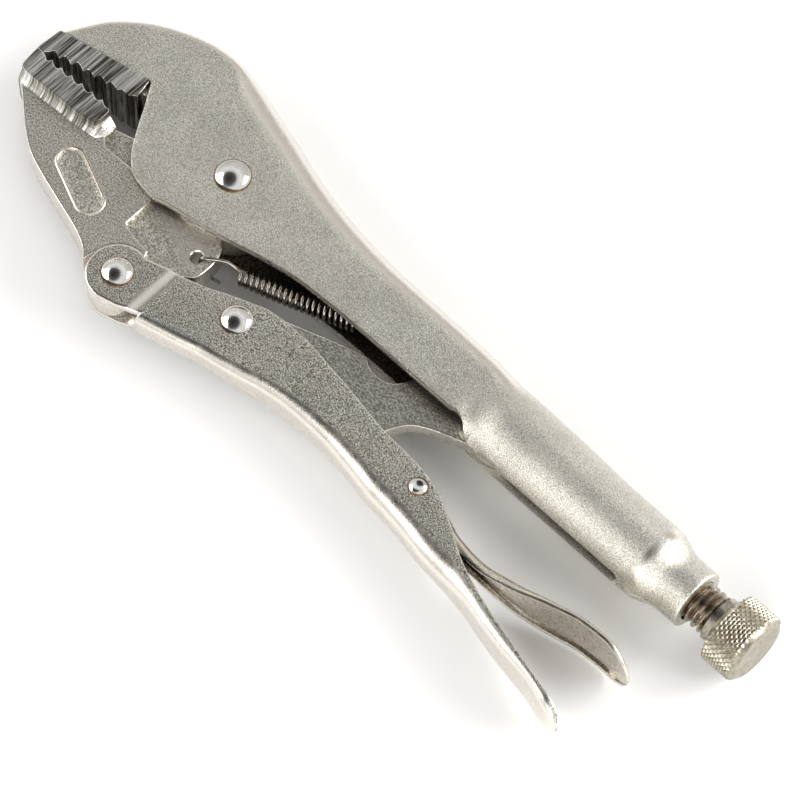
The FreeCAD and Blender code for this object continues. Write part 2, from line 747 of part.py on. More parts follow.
def make_adjusting_screw():
    thread = size("screw_radius")
    collar = size("collar_radius")
    stub = size("stub_radius")
    stub_end = knob_x + size("knob_length") - 3.0
    profile = [
        (screw_tip_x, 0.0),
        (screw_tip_x, 0.6 * thread),
        (screw_tip_x + 1.8, thread),
        (collar_x, thread),
        (collar_x, collar),
        (knob_x - 0.05, collar),
        (knob_x - 0.05, stub),
        (stub_end, stub),
        (stub_end, 0.0),
    ]
    return finish(revolved("adjusting_screw", profile))


def make_screw_knob():
    outer = size("knob_radius")
    bore = size("stub_radius") + running_fit
    bore_end = knob_x + size("knob_length") - 2.9
    chamfer = 1.3
    profile = [
        (knob_x, bore),
        (knob_x, outer - 1.8 * chamfer),
        (knob_x + chamfer, outer),
        (knob_end - chamfer, outer),
        (knob_end, outer - chamfer),
        (knob_end, 0.0),
        (bore_end, 0.0),
        (bore_end, bore),
    ]
    return finish(revolved("screw_knob", profile))


# ---------------------------------------------------------------- rivets

def make_rivet(label, centre, shank_name, head_name, grip, rise):
    """A rivet with a low domed head on each side; grip is the width that it holds."""
    body = new_body(label)
    sketch = add_sketch(body, label + "_profile", "XZ_Plane")
    shank = size(shank_name)
    head = size(head_name)
    half = grip / 2
    top = half + rise
    dome = (head * head + rise * rise) / (2 * rise)
    turn = math.asin(head / dome) / 2
    mid = Vector(dome * math.sin(turn), top - dome + dome * math.cos(turn), 0)
    sketch.addGeometry(Part.Arc(Vector(0, top, 0), mid, Vector(head, half, 0)), False)
    add_chain(sketch, [(head, half), (shank, half), (shank, -half), (head, -half)])
    sketch.addGeometry(Part.Arc(Vector(head, -half, 0), Vector(mid.x, -mid.y, 0), Vector(0, -top, 0)), False)
    add_chain(sketch, [(0, -top), (0, top)])
    doc.recompute()
    feature = body.newObject("PartDesign::Revolution", label + "_turned")
    feature.Profile = sketch
    feature.ReferenceAxis = (sketch, ["V_Axis"])
    feature.Angle = 360.0
    doc.recompute()
    body.Placement = FreeCAD.Placement(home.Base + centre, FreeCAD.Rotation())
    return body


# ---------------------------------------------------------------- spring

spring_hole = Vector(8.4, -21.2, 0)
tilt = math.radians(size("spring_tilt"))
spring_way = Vector(math.cos(tilt), math.sin(tilt), 0)
coil_start = spring_hole + spring_way * 12.0 + Vector(-0.4, 0.7, 0)
coil_end = coil_start + spring_way * size("spring_length")
spring_tab_x = coil_end.x + 6.5
spring_tab_y = coil_end.y + 2.4


def rod(name, start, end, radius_expression):
    """A round bar of the document between two points of the working frame."""
    piece = doc.addObject("Part::Cylinder", name)
    piece.setExpression("Radius", radius_expression)
    piece.Height = (end - start).Length
    piece.Placement = FreeCAD.Placement(start, FreeCAD.Rotation(Vector(0, 0, 1), end - start))
    return piece


def make_tension_spring():
    """Close coils as one sleeve, with a wire hook at each end."""
    wire = size("spring_wire")
    rim = size("spring_radius") - wire / 2
    coil = rod("spring_outside", coil_start, coil_end, "dims.spring_radius")
    core = rod("spring_inside", coil_start - spring_way, coil_end + spring_way, "dims.spring_radius - dims.spring_wire")
    sleeve = doc.addObject("Part::Cut", "spring_sleeve")
    sleeve.Base = coil
    sleeve.Tool = core
    over_tang = size("tang_width") / 2 + 0.65
    in_hole = spring_hole + spring_way * (size("spring_hole_radius") - 0.6 * wire)
    front = [
        coil_start + spring_way * 1.5 + Vector(0, 0, rim),
        coil_start - spring_way * 1.5 + Vector(0, 0, rim + 0.6),
        Vector(in_hole.x, in_hole.y, over_tang),
        Vector(in_hole.x, in_hole.y, -over_tang),
        Vector(in_hole.x + 4.5, in_hole.y + 1.2, -over_tang - 0.3),
    ]
    beside = size("spring_radius") + 0.6 * wire
    behind = spring_tab_x + 1.0 + 0.55 * wire
    rear = [
        coil_end - spring_way * 1.5 + Vector(0, 0, rim),
        Vector(spring_tab_x - 2.0, spring_tab_y - 0.8, beside),
        Vector(behind, spring_tab_y, beside),
        Vector(behind, spring_tab_y, -0.6 * beside),
    ]
    pieces = [sleeve]
    for label, path in (("front_hook", front), ("rear_hook", rear)):
        for i, (a, b) in enumerate(zip(path, path[1:])):
            pieces.append(rod("%s_%d" % (label, i), a, b, "dims.spring_wire * 0.48"))
        for i, point in enumerate(path[1:-1]):
            ball = doc.addObject("Part::Sphere", "%s_bend_%d" % (label, i))
            ball.setExpression("Radius", "dims.spring_wire * 0.54")
            ball.Placement.Base = point
            pieces.append(ball)
    spring = doc.addObject("Part::MultiFuse", "tension_spring")
    spring.Shapes = pieces
    spring.Label = "tension_spring"
    doc.recompute()
    spring.Placement = home
    doc.recompute()
    return spring


# ---------------------------------------------------------------- build, check and write

channel_half = [s for s in lever_stations() if s[0] <= link_rivet.x + 6][-1][3]
parts = [
    make_handle_body(),
    make_fixed_jaw(),
    make_moving_jaw(),
    make_lever(),
    make_toggle_link(),
    make_release_lever(),
    make_adjusting_screw(),
    make_screw_knob(),
    make_rivet("main_rivet", Vector(0, 0, 0), "main_shank_radius", "main_head_radius", size("body_width"), 1.9),
    make_rivet("jaw_rivet", jaw_rivet, "jaw_shank_radius", "jaw_head_radius", size("ear_width"), 1.7),
    make_rivet("link_rivet", link_rivet, "link_shank_radius", "link_head_radius", 2 * channel_half, 1.7),
    make_rivet("release_pin", release_pin, "release_shank_radius", "release_head_radius", size("lever_width"), 0.9),
    make_tension_spring(),
]
doc.recompute()

for item in doc.Objects:
    if "Invalid" in item.State or "Error" in item.State:
        raise RuntimeError("%s is %s" % (item.Label, item.State))
for part in parts:
    if part.Shape.isNull() or not part.Shape.isValid():
        raise RuntimeError(part.Label + " has no valid shape")

os.makedirs("parts", exist_ok=True)
for part in parts:
    part.Shape.exportStep("parts/%s.step" % part.Label)
    box = part.Shape.BoundBox
    print("%-16s solids %d  volume %8.0f  x %.1f..%.1f  y %.1f..%.1f  z %.1f..%.1f" % (
        part.Label, len(part.Shape.Solids), part.Shape.Volume,
        box.XMin, box.XMax, box.YMin, box.YMax, box.ZMin, box.ZMax))
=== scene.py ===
import json
import math

import bmesh
import bpy
import numpy as np
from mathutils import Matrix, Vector


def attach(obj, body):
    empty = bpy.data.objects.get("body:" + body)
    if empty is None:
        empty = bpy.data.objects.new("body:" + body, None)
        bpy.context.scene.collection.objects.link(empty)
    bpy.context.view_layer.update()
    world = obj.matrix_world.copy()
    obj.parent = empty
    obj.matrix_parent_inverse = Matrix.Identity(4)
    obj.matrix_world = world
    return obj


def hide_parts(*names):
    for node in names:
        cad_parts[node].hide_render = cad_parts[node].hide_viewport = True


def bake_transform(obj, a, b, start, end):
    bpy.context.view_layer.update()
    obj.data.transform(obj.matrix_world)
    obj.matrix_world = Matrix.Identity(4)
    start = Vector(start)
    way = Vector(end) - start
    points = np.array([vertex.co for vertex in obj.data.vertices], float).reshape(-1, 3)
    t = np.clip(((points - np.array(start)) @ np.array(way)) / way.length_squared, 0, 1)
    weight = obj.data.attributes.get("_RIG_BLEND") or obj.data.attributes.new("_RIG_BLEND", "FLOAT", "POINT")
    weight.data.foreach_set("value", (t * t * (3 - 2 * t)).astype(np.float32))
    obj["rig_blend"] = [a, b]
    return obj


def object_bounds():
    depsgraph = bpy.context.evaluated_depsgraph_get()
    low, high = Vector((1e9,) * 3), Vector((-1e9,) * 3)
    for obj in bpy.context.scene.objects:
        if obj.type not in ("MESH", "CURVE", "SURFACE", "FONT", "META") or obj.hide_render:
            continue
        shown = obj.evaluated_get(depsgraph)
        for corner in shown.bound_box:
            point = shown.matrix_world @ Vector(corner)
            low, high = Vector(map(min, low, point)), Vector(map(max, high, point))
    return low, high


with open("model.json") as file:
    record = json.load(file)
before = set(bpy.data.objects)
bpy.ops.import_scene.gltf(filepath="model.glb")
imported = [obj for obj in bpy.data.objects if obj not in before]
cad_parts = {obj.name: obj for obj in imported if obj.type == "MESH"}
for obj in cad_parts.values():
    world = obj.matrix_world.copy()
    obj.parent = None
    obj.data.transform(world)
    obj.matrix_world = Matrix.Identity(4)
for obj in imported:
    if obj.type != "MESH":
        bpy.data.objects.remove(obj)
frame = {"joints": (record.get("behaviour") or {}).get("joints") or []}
cad_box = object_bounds()

# Locking pliers lying on one side. Every outline below is in millimetres from
# the main rivet: +X towards the knob, +Y towards the back of the fixed handle,
# and Z through the thickness, with the tool's middle plane at 0.
JOINTS = {joint["name"]: joint for joint in frame["joints"]}
HOME = np.array(JOINTS["jaw_opening"]["pos_m"])


def pivot(joint):
    """A joint's place in the outline frame."""
    return (np.array(JOINTS[joint]["pos_m"]) - HOME) * 1000.0


JAW_RIVET = pivot("lever_swing")
LINK_RIVET = pivot("link_fold")
RELEASE_PIN = pivot("release_press")
AXIS_Y = pivot("knob_turn")[1]
SHEET = 2.2             # wall of the handle body
LEVER_SHEET = 2.1       # wall of the lever
RELEASE_SHEET = 1.5     # wall of the release lever
HANDLE_HALF = 7.75      # half width over the handle's side plates
SPRING_HOLE = (8.4, -21.2)
LIP_ROUND = 0.45        # how far a sheet's lips are rounded
LIP_POINTS = 4          # points round one lip of a folded sheet


# ------------------------------------------------------------------ curves

def through(points, count, closed=False):
    """Points on a smooth curve that passes through the given ones."""
    p = np.array(points, float)
    if closed:
        p = np.vstack([p[-1], p, p[0], p[1]])
    else:
        p = np.vstack([2 * p[0] - p[1], p, 2 * p[-1] - p[-2]])
    out = []
    spans = len(p) - 3
    for i in range(spans):
        a, b, c, d = p[i:i + 4]
        ta = 0.0
        tb = ta + max(np.linalg.norm(b - a), 1e-6) ** 0.5
        tc = tb + max(np.linalg.norm(c - b), 1e-6) ** 0.5
        td = tc + max(np.linalg.norm(d - c), 1e-6) ** 0.5
        last = not closed and i == spans - 1
        steps = np.linspace(tb, tc, count, endpoint=False).tolist()
        for t in steps + ([tc] if last else []):
            ab = (tb - t) / (tb - ta) * a + (t - ta) / (tb - ta) * b
            bc = (tc - t) / (tc - tb) * b + (t - tb) / (tc - tb) * c
            cd = (td - t) / (td - tc) * c + (t - tc) / (td - tc) * d
            abc = (tc - t) / (tc - ta) * ab + (t - ta) / (tc - ta) * bc
            bcd = (td - t) / (td - tb) * bc + (t - tb) / (td - tb) * cd
            out.append((tc - t) / (tc - tb) * abc + (t - tb) / (tc - tb) * bcd)
    return [tuple(q) for q in out]


def steady(xs, ys, x):
    """Smooth reading between stations that never overshoots them."""
    xs, ys, x = np.array(xs, float), np.array(ys, float), np.atleast_1d(np.array(x, float))
    h = np.diff(xs)
    slope = np.diff(ys) / h
    m = np.zeros(len(xs))
    m[0], m[-1] = slope[0], slope[-1]
    for i in range(1, len(xs) - 1):
        if slope[i - 1] * slope[i] > 0:
            w1, w2 = 2 * h[i] + h[i - 1], h[i] + 2 * h[i - 1]
            m[i] = (w1 + w2) / (w1 / slope[i - 1] + w2 / slope[i])
    k = np.clip(np.searchsorted(xs, x) - 1, 0, len(h) - 1)
    t = np.clip((x - xs[k]) / h[k], 0, 1)
    return ((2 * t ** 3 - 3 * t ** 2 + 1) * ys[k] + (t ** 3 - 2 * t ** 2 + t) * h[k] * m[k]
            + (-2 * t ** 3 + 3 * t ** 2) * ys[k + 1] + (t ** 3 - t ** 2) * h[k] * m[k + 1])


def ease(value, low, high):
    """0 below low, 1 above high, with a smooth rise between."""
    t = min(max((value - low) / (high - low), 0.0), 1.0)
    return t * t * (3 - 2 * t)


def grown(outline, distance):
    """A closed outline moved outwards by a distance (inwards if negative)."""
    p = np.array(outline, float)
    area = 0.5 * np.sum(p[:, 0] * np.roll(p[:, 1], -1) - np.roll(p[:, 0], -1) * p[:, 1])
    before, after = np.roll(p, 1, 0), np.roll(p, -1, 0)
    d1 = (p - before) / np.maximum(np.linalg.norm(p - before, axis=1), 1e-9)[:, None]
    d2 = (after - p) / np.maximum(np.linalg.norm(after - p, axis=1), 1e-9)[:, None]
    n1 = np.stack([d1[:, 1], -d1[:, 0]], 1)
    n2 = np.stack([d2[:, 1], -d2[:, 0]], 1)
    mitre = n1 + n2
    mitre /= np.maximum(np.linalg.norm(mitre, axis=1), 1e-6)[:, None]
    stretch = 1 / np.maximum(np.sum(mitre * n1, 1), 0.6)
    return p + mitre * (stretch * distance * np.sign(area))[:, None]


def dense(outline, spacing):
    """The same outline with long straight runs divided."""
    out = []
    for a, b in zip(outline, list(outline[1:]) + [outline[0]]):
        a, b = np.array(a, float), np.array(b, float)
        n = max(int(np.linalg.norm(b - a) / spacing), 1)
        out += [tuple(a + (b - a) * k / n) for k in range(n)]
    return out


def arc(centre, radius, start, stop, count):
    """Points on a circle from one angle to another, in degrees."""
    angles = [math.radians(a) for a in np.linspace(start, stop, count)]
    return [(centre[0] + radius * math.cos(a), centre[1] + radius * math.sin(a))
            for a in angles]


# ------------------------------------------------------------------ meshes

class Shell:
    """Collects vertices, faces and a polish value for each vertex, in millimetres."""

    def __init__(self):
        self.points, self.faces, self.polish, self.slots = [], [], [], []

    def ring(self, points, polish):
        """Adds a row of points and gives back their numbers."""
        start = len(self.points)
        values = polish if hasattr(polish, "__len__") else [polish] * len(points)
        self.points += [tuple(map(float, p)) for p in points]
        self.polish += [float(v) for v in values]
        return list(range(start, start + len(points)))

    def face(self, corners, slot=0):
        """One face, on one of the piece's materials."""
        self.faces.append(tuple(corners))
        self.slots.append(slot)

    def band(self, first, second, closed=True, slot=0):
        """Faces between two rows of the same length."""
        n = len(first)
        for k in range(n if closed else n - 1):
            j = (k + 1) % n
            self.face((first[k], first[j], second[j], second[k]), slot)

    def tube(self, rings, polish=0.0, slot=0):
        """Closed rings joined one after the other, with end caps."""
        values = polish if isinstance(polish, list) else [polish] * len(rings)
        made = [self.ring(r, value) for r, value in zip(rings, values)]
        for a, b in zip(made, made[1:]):
            self.band(a, b, True, slot)
        self.face(list(reversed(made[0])), slot)
        self.face(made[-1], slot)

    def plate(self, outline, levels, slot=0):
        """A stack of the outline at (z, growth, polish) levels."""
        rings, shine = [], []
        for z, growth, polish in levels:
            ring = grown(outline, growth) if growth else np.array(outline, float)
            rings.append([(x, y, z) for x, y in ring])
            shine.append(polish)
        self.tube(rings, shine, slot=slot)

    def skin(self, rings, shines):
        """Closed rings joined one after the other, with open ends."""
        made = [self.ring(r, p) for r, p in zip(rings, shines)]
        for a, b in zip(made, made[1:]):
            self.band(a, b)
        return made

    def cap_channel(self, ring, reverse=False):
        """Closes the end of a folded sheet between its outside and its inside."""
        outer = (len(ring) - 2 * LIP_POINTS) // 2
        outside = ring[:outer]
        inside = list(reversed(ring[outer + LIP_POINTS:2 * outer + LIP_POINTS]))
        faces = [(outside[k], outside[k + 1], inside[k + 1], inside[k])
                 for k in range(outer - 1)]
        faces.append([outside[-1]] + ring[outer:outer + LIP_POINTS] + [inside[-1]])
        faces.append([inside[0]] + ring[2 * outer + LIP_POINTS:] + [outside[0]])
        for corners in faces:
            self.face(list(reversed(corners)) if reverse else corners)

    def turned_rows(self, rows, slot_of=lambda number: 0):
        """Bands between turned rows, where a row of one point is a centre."""
        for number, (a, b) in enumerate(zip(rows, rows[1:])):
            slot = slot_of(number)
            if len(a) > 1 and len(b) > 1:
                self.band(a, b, True, slot)
                continue
            sides = max(len(a), len(b))
            for k in range(sides):
                j = (k + 1) % sides
                corners = (a[0], b[k], b[j]) if len(a) == 1 else (a[k], b[0], a[j])
                self.face(corners, slot)


def slab_levels(half, edge, polish=1.0):
    """Levels of a flat plate with softened edges and a narrow flat border."""
    c = edge
    side = [(half - c, 0.0), (half - 0.38 * c, -0.12 * c), (half - 0.08 * c, -0.45 * c), (half, -c)]
    top = [(z, g, polish) for z, g in side] + [(half, -c - 0.25, 0.0)]
    return [(-z, g, p) for z, g, p in reversed(top)] + top


def in_scene(name, data):
    """A new object in the scene that holds the data."""
    item = bpy.data.objects.new(name, data)
    bpy.context.scene.collection.objects.link(item)
    return item


def plain_mesh(name, points, faces, materials, slots, polish):
    """A mesh from points in metres, with its materials and its polish."""
    mesh = bpy.data.meshes.new(name)
    mesh.from_pydata([tuple(p) for p in points], [], faces)
    for material in materials:
        mesh.materials.append(material)
    mesh.polygons.foreach_set("material_index", slots)
    layer = mesh.attributes.new("polish", "FLOAT", "POINT")
    layer.data.foreach_set("value", polish)
    return mesh


def shell_mesh(name, shell, materials):
    """The mesh of a shell, moved from the outline frame to the scene's."""
    points = np.array(shell.points) / 1000.0 + HOME
    return plain_mesh(name, points, shell.faces, materials, shell.slots, shell.polish)


def turn_outwards(mesh, sharp, weld=None):
    """Outward normals and smooth faces, with the sharp edges marked."""
    work = bmesh.new()
    work.from_mesh(mesh)
    if weld:
        bmesh.ops.remove_doubles(work, verts=work.verts, dist=weld)
    bmesh.ops.recalc_face_normals(work, faces=work.faces)
    for f in work.faces:
        f.smooth = True
    work.to_mesh(mesh)
    work.free()
    mesh.update()
    mesh.set_sharp_from_angle(angle=math.radians(sharp))


def finish_mesh(name, shell, materials, body, node, sharp):
    """Turns a shell into a finished piece on a body."""
    mesh = shell_mesh(name, shell, materials)
    turn_outwards(mesh, sharp, weld=1e-7)
    return settle(in_scene(name, mesh), body, node)


def settle(piece, body, node):
    """Sets a piece on its body, in place of a node of the CAD."""
    if body:
        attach(piece, body)
    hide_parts(node)
    return piece


def solid(name, shell, materials):
    """A smooth closed part that is joined with others or cut from them."""
    mesh = shell_mesh(name, shell, materials)
    mesh.shade_smooth()
    return in_scene(name, mesh)


# ------------------------------------------------------------------ materials

def new_material(name):
    """A node material with a principled shader joined to its output."""
    material = bpy.data.materials.new(name)
    material.use_nodes = True
    tree = material.node_tree
    tree.nodes.clear()
    out = tree.nodes.new("ShaderNodeOutputMaterial")
    shader = tree.nodes.new("ShaderNodeBsdfPrincipled")
    tree.links.new(shader.outputs[0], out.inputs[0])
    return material, tree, shader


def noise(tree, coords, scale, detail=3.0, rough=0.5, stretch=None):
    """A noise value; stretch holds a scale along each axis and a turn about Z."""
    node = tree.nodes.new("ShaderNodeTexNoise")
    node.inputs["Scale"].default_value = scale
    node.inputs["Detail"].default_value = detail
    node.inputs["Roughness"].default_value = rough
    node.inputs["Distortion"].default_value = 0.0
    if stretch:
        mapping = tree.nodes.new("ShaderNodeMapping")
        mapping.inputs["Rotation"].default_value = (0, 0, stretch[3])
        mapping.inputs["Scale"].default_value = stretch[:3]
        tree.links.new(coords, mapping.inputs[0])
        coords = mapping.outputs[0]
    tree.links.new(coords, node.inputs["Vector"])
    return node.outputs[0]


def ramp(tree, value, stops):
    """Colours at (place, colour) stops, read by a value."""
    node = tree.nodes.new("ShaderNodeValToRGB")
    element = node.color_ramp.elements
    while len(element) < len(stops):
        element.new(0.5)
    for item, (place, colour) in zip(element, stops):
        item.position = place
        item.color = (*colour, 1)
    tree.links.new(value, node.inputs[0])
    return node.outputs[0]


def grey(v):
    """A neutral colour."""
    return (v, v, v)


def feed(tree, socket, value):
    """Sets a socket from a number or a colour, or links another socket to it."""
    if isinstance(value, (int, float)):
        socket.default_value = value
    elif isinstance(value, tuple):
        socket.default_value = (*value, 1)
    else:
        tree.links.new(value, socket)


def blend(tree, factor, first, second, mode="MIX"):
    """Colour mix; factor, first and second are sockets or constants."""
    node = tree.nodes.new("ShaderNodeMix")
    node.data_type = "RGBA"
    node.blend_type = mode
    for number, value in ((0, factor), (6, first), (7, second)):
        feed(tree, node.inputs[number], value)
    return node.outputs[2]


def calc(tree, operation, first, second=None):
    """One sum on sockets or numbers."""
    node = tree.nodes.new("ShaderNodeMath")
    node.operation = operation
    feed(tree, node.inputs[0], first)
    if second is not None:
        feed(tree, node.inputs[1], second)
    return node.outputs[0]


def polish_value(tree):
    """The polish stored on each vertex: 1 on worn edges and folds, 0 on flats."""
    node = tree.nodes.new("ShaderNodeAttribute")
    node.attribute_name = "polish"
    return node.outputs["Fac"]


def object_place(tree):
    """Where a point lies on its object."""
    return tree.nodes.new("ShaderNodeTexCoord").outputs["Object"]


def bumped(tree, shader, height, strength, distance):
    """Surface relief from a height value; the distance is in metres."""
    node = tree.nodes.new("ShaderNodeBump")
    node.inputs["Distance"].default_value = distance
    feed(tree, node.inputs["Strength"], strength)
    tree.links.new(height, node.inputs["Height"])
    tree.links.new(node.outputs[0], shader.inputs["Normal"])


def blasted_plate(name, dark, light, grain=3600.0, rough=(0.29, 0.43), bump=0.00015,
                  ragged=0.2, bright=(0.79, 0.745, 0.68)):
    """Plating over a blasted surface: fine speckle on the flats, and brighter and
    smoother on worn edges and folds."""
    material, tree, shader = new_material(name)
    place = object_place(tree)
    polish = polish_value(tree)
    fine = noise(tree, place, grain, 2.0, 0.6)
    broad = noise(tree, place, 60.0, 4.0, 0.6)
    patches = noise(tree, place, 420.0, 3.0, 0.6)
    uneven = calc(tree, "MULTIPLY", calc(tree, "SUBTRACT", patches, 0.5), ragged)
    worn = ramp(tree, calc(tree, "ADD", polish, uneven), [(0.25, grey(0)), (0.8, grey(1))])
    between = tuple((a + b) / 2 for a, b in zip(dark, light))
    speckle = ramp(tree, fine, [(0.38, dark), (0.5, between), (0.62, light)])
    clouds = ramp(tree, broad, [(0.35, grey(0.62)), (0.65, grey(1.0))])
    cloudy = blend(tree, 0.35, speckle, clouds, "MULTIPLY")
    colour = blend(tree, worn, cloudy, bright)
    tree.links.new(colour, shader.inputs["Base Color"])
    shader.inputs["Metallic"].default_value = 1.0
    flat_rough = ramp(tree, fine, [(0.35, grey(rough[1])), (0.65, grey(rough[0]))])
    shine_rough = ramp(tree, patches, [(0.3, grey(0.2)), (0.7, grey(0.3))])
    tree.links.new(blend(tree, worn, flat_rough, shine_rough), shader.inputs["Roughness"])
    height = calc(tree, "ADD", fine, calc(tree, "MULTIPLY", patches, 0.35))
    strength = ramp(tree, worn, [(0.0, grey(1.0)), (1.0, grey(0.22))])
    bumped(tree, shader, height, strength, bump)
    return material


def ground_steel(name):
    """Ground side and end faces of the jaws: fine straight marks across the tooth line."""
    material, tree, shader = new_material(name)
    place = object_place(tree)
    lean = math.radians(-14)
    lines = noise(tree, place, 1.0, 3.0, 0.65, stretch=(2400, 60, 60, lean))
    wide = noise(tree, place, 1.0, 3.0, 0.6, stretch=(900, 30, 30, lean))
    both = calc(tree, "ADD", calc(tree, "MULTIPLY", lines, 0.6), calc(tree, "MULTIPLY", wide, 0.4))
    colour = ramp(tree, both, [(0.42, (0.07, 0.065, 0.055)), (0.5, (0.40, 0.385, 0.35)),
                               (0.58, (0.88, 0.86, 0.82))])
    tree.links.new(colour, shader.inputs["Base Color"])
    shader.inputs["Metallic"].default_value = 1.0
    gloss = ramp(tree, lines, [(0.3, grey(0.42)), (0.7, grey(0.24))])
    tree.links.new(gloss, shader.inputs["Roughness"])
    bumped(tree, shader, both, 0.8, 0.00022)
    return material


def turned_metal(name, dark, light, rough, grain=900.0, stain=(0.22, 0.13, 0.07),
                 stain_from=0.62, bump=0.00006):
    """Turned or rolled metal with light staining in its hollows."""
    material, tree, shader = new_material(name)
    place = object_place(tree)
    polish = polish_value(tree)
    fine = noise(tree, place, grain, 3.0, 0.6)
    broad = noise(tree, place, 240.0, 4.0, 0.6)
    base = ramp(tree, fine, [(0.3, dark), (0.7, light)])
    stained = ramp(tree, calc(tree, "ADD", broad, calc(tree, "MULTIPLY", polish, -0.35)),
                   [(stain_from - 0.2, grey(0)), (stain_from + 0.08, grey(1))])
    tree.links.new(blend(tree, stained, base, stain), shader.inputs["Base Color"])
    shader.inputs["Metallic"].default_value = 1.0
    gloss = ramp(tree, broad, [(0.3, grey(rough[0])), (0.7, grey(rough[1]))])
    tree.links.new(gloss, shader.inputs["Roughness"])
    bumped(tree, shader, fine, 0.8, bump)
    return material


def rust_ring(name):
    """Flaky brown rust, as it gathers round the rivet heads."""
    material, tree, shader = new_material(name)
    place = object_place(tree)
    flecks = noise(tree, place, 1500.0, 3.0, 0.6)
    colour = ramp(tree, flecks, [(0.35, (0.05, 0.03, 0.018)), (0.65, (0.36, 0.19, 0.08))])
    tree.links.new(colour, shader.inputs["Base Color"])
    shader.inputs["Metallic"].default_value = 0.35
    gloss = ramp(tree, flecks, [(0.3, grey(0.8)), (0.7, grey(0.5))])
    tree.links.new(gloss, shader.inputs["Roughness"])
    bumped(tree, shader, flecks, 0.6, 0.0001)
    return material


satin_nickel = blasted_plate("satin_nickel", (0.07, 0.067, 0.056), (0.97, 0.94, 0.84), grain=3000.0)
handle_nickel = blasted_plate("handle_nickel", (0.36, 0.35, 0.305), (0.98, 0.955, 0.86), grain=3600.0)
smooth_nickel = blasted_plate("smooth_nickel", (0.30, 0.29, 0.255), (0.78, 0.755, 0.68), grain=1700.0,
                              rough=(0.26, 0.38), bump=0.0001)
forged_nickel = blasted_plate("forged_nickel", (0.24, 0.233, 0.20), (0.80, 0.775, 0.69), grain=2300.0,
                              rough=(0.3, 0.48), bump=0.0002)
warm_nickel = blasted_plate("warm_nickel", (0.56, 0.515, 0.44), (0.80, 0.745, 0.65), grain=1300.0,
                            rough=(0.2, 0.32), bump=0.00006, ragged=0.1, bright=(0.80, 0.745, 0.65))
# near-black brown for the faces inside the folded sheets and for the spring tab: painted shade, standing in
# for the shadow inside the channels
painted_inner_shade = blasted_plate("painted_inner_shade", (0.025, 0.02, 0.015), (0.13, 0.11, 0.085), grain=1600.0,
                            rough=(0.4, 0.6), bump=0.00015, bright=(0.20, 0.17, 0.14))
jaw_ground = ground_steel("ground_steel")
thread_metal = turned_metal("threaded_nickel", (0.24, 0.21, 0.165), (0.55, 0.505, 0.43),
                            (0.22, 0.36), stain_from=0.50)
knurl_metal = turned_metal("knurled_nickel", (0.26, 0.23, 0.18), (0.50, 0.46, 0.375),
                           (0.26, 0.4), stain_from=0.66)
rivet_metal = turned_metal("polished_nickel", (0.74, 0.72, 0.68), (0.86, 0.85, 0.82),
                           (0.08, 0.16), grain=500.0, stain_from=0.9, bump=0.00003)
spring_metal = turned_metal("spring_steel", (0.16, 0.14, 0.12), (0.42, 0.39, 0.35),
                            (0.16, 0.3), stain_from=0.6)
rust = rust_ring("rust_ring")


# ------------------------------------------------------------------ folded sheet sections

def channel_loop(height, half, fold_in, fold_out, wall, flat_steps, fold_steps, top_steps):
    """A folded channel's section as (height, z, polish). Height 0 is the lips and
    the full height is the crown of the fold; a polish of -1 marks the inside."""
    fold_in = min(fold_in, 0.9 * height)
    fold_out = min(fold_out, half - 0.25)

    def side(h, w, rh, rz, start):
        """One side, up from the lip and over the fold to the middle of the crown."""
        points = []
        for k in range(flat_steps):
            points.append((start + (h - rh - start) * k / flat_steps, w))
        for k in range(fold_steps):
            a = math.pi / 2 * k / fold_steps
            points.append((h - rh + rh * math.sin(a), w - rz + rz * math.cos(a)))
        for k in range(top_steps + 1):
            points.append((h, (w - rz) * (1 - k / top_steps)))
        return points

    r = min(LIP_ROUND, 0.3 * height)
    outer = side(height, half, fold_in, fold_out, r)
    inner_height = max(height - wall, 0.06)
    inner_in = max(min(fold_in - wall, 0.9 * inner_height), 0.05 * inner_height)
    inner_out = min(max(fold_out - wall, 0.3), half - wall - 0.15)
    inner = side(inner_height, half - wall, inner_in, inner_out, min(LIP_ROUND, 0.3 * inner_height))
    shine = [0.0] * flat_steps + [ease(k, 0, 0.35 * fold_steps) for k in range(fold_steps)]
    shine += [1.0] * (top_steps + 1)
    near = [(h, z, s) for (h, z), s in zip(outer, shine)]
    far = [(h, -z, s) for h, z, s in reversed(near[:-1])]
    near_in = [(h, z, -1.0) for h, z in inner]
    far_in = [(h, -z, -1.0) for h, z, s in reversed(near_in[:-1])]
    lip_near = [(0.25 * r, half - 0.2 * r, 1.0), (0.0, half - 0.75 * r, 1.0),
                (0.0, half - wall + 0.75 * r, 1.0), (0.25 * r, half - wall + 0.2 * r, 0.6)]
    lip_far = [(h, -z, s) for h, z, s in lip_near]
    # the loop runs along the outside, round the far lip, back inside and round the near lip
    return near + far + lip_far + list(reversed(near_in + far_in)) + list(reversed(lip_near))


def split_inside(shell, slot):
    """Puts the faces that lie inside a folded sheet on the near-black material: painted shade for the shadow
    inside the channel.
    """
    for i, face in enumerate(shell.faces):
        if sum(shell.polish[v] < -0.5 for v in face) >= 3:
            shell.slots[i] = slot
    shell.polish = [max(v, 0.0) for v in shell.polish]


# ------------------------------------------------------------------ handle body

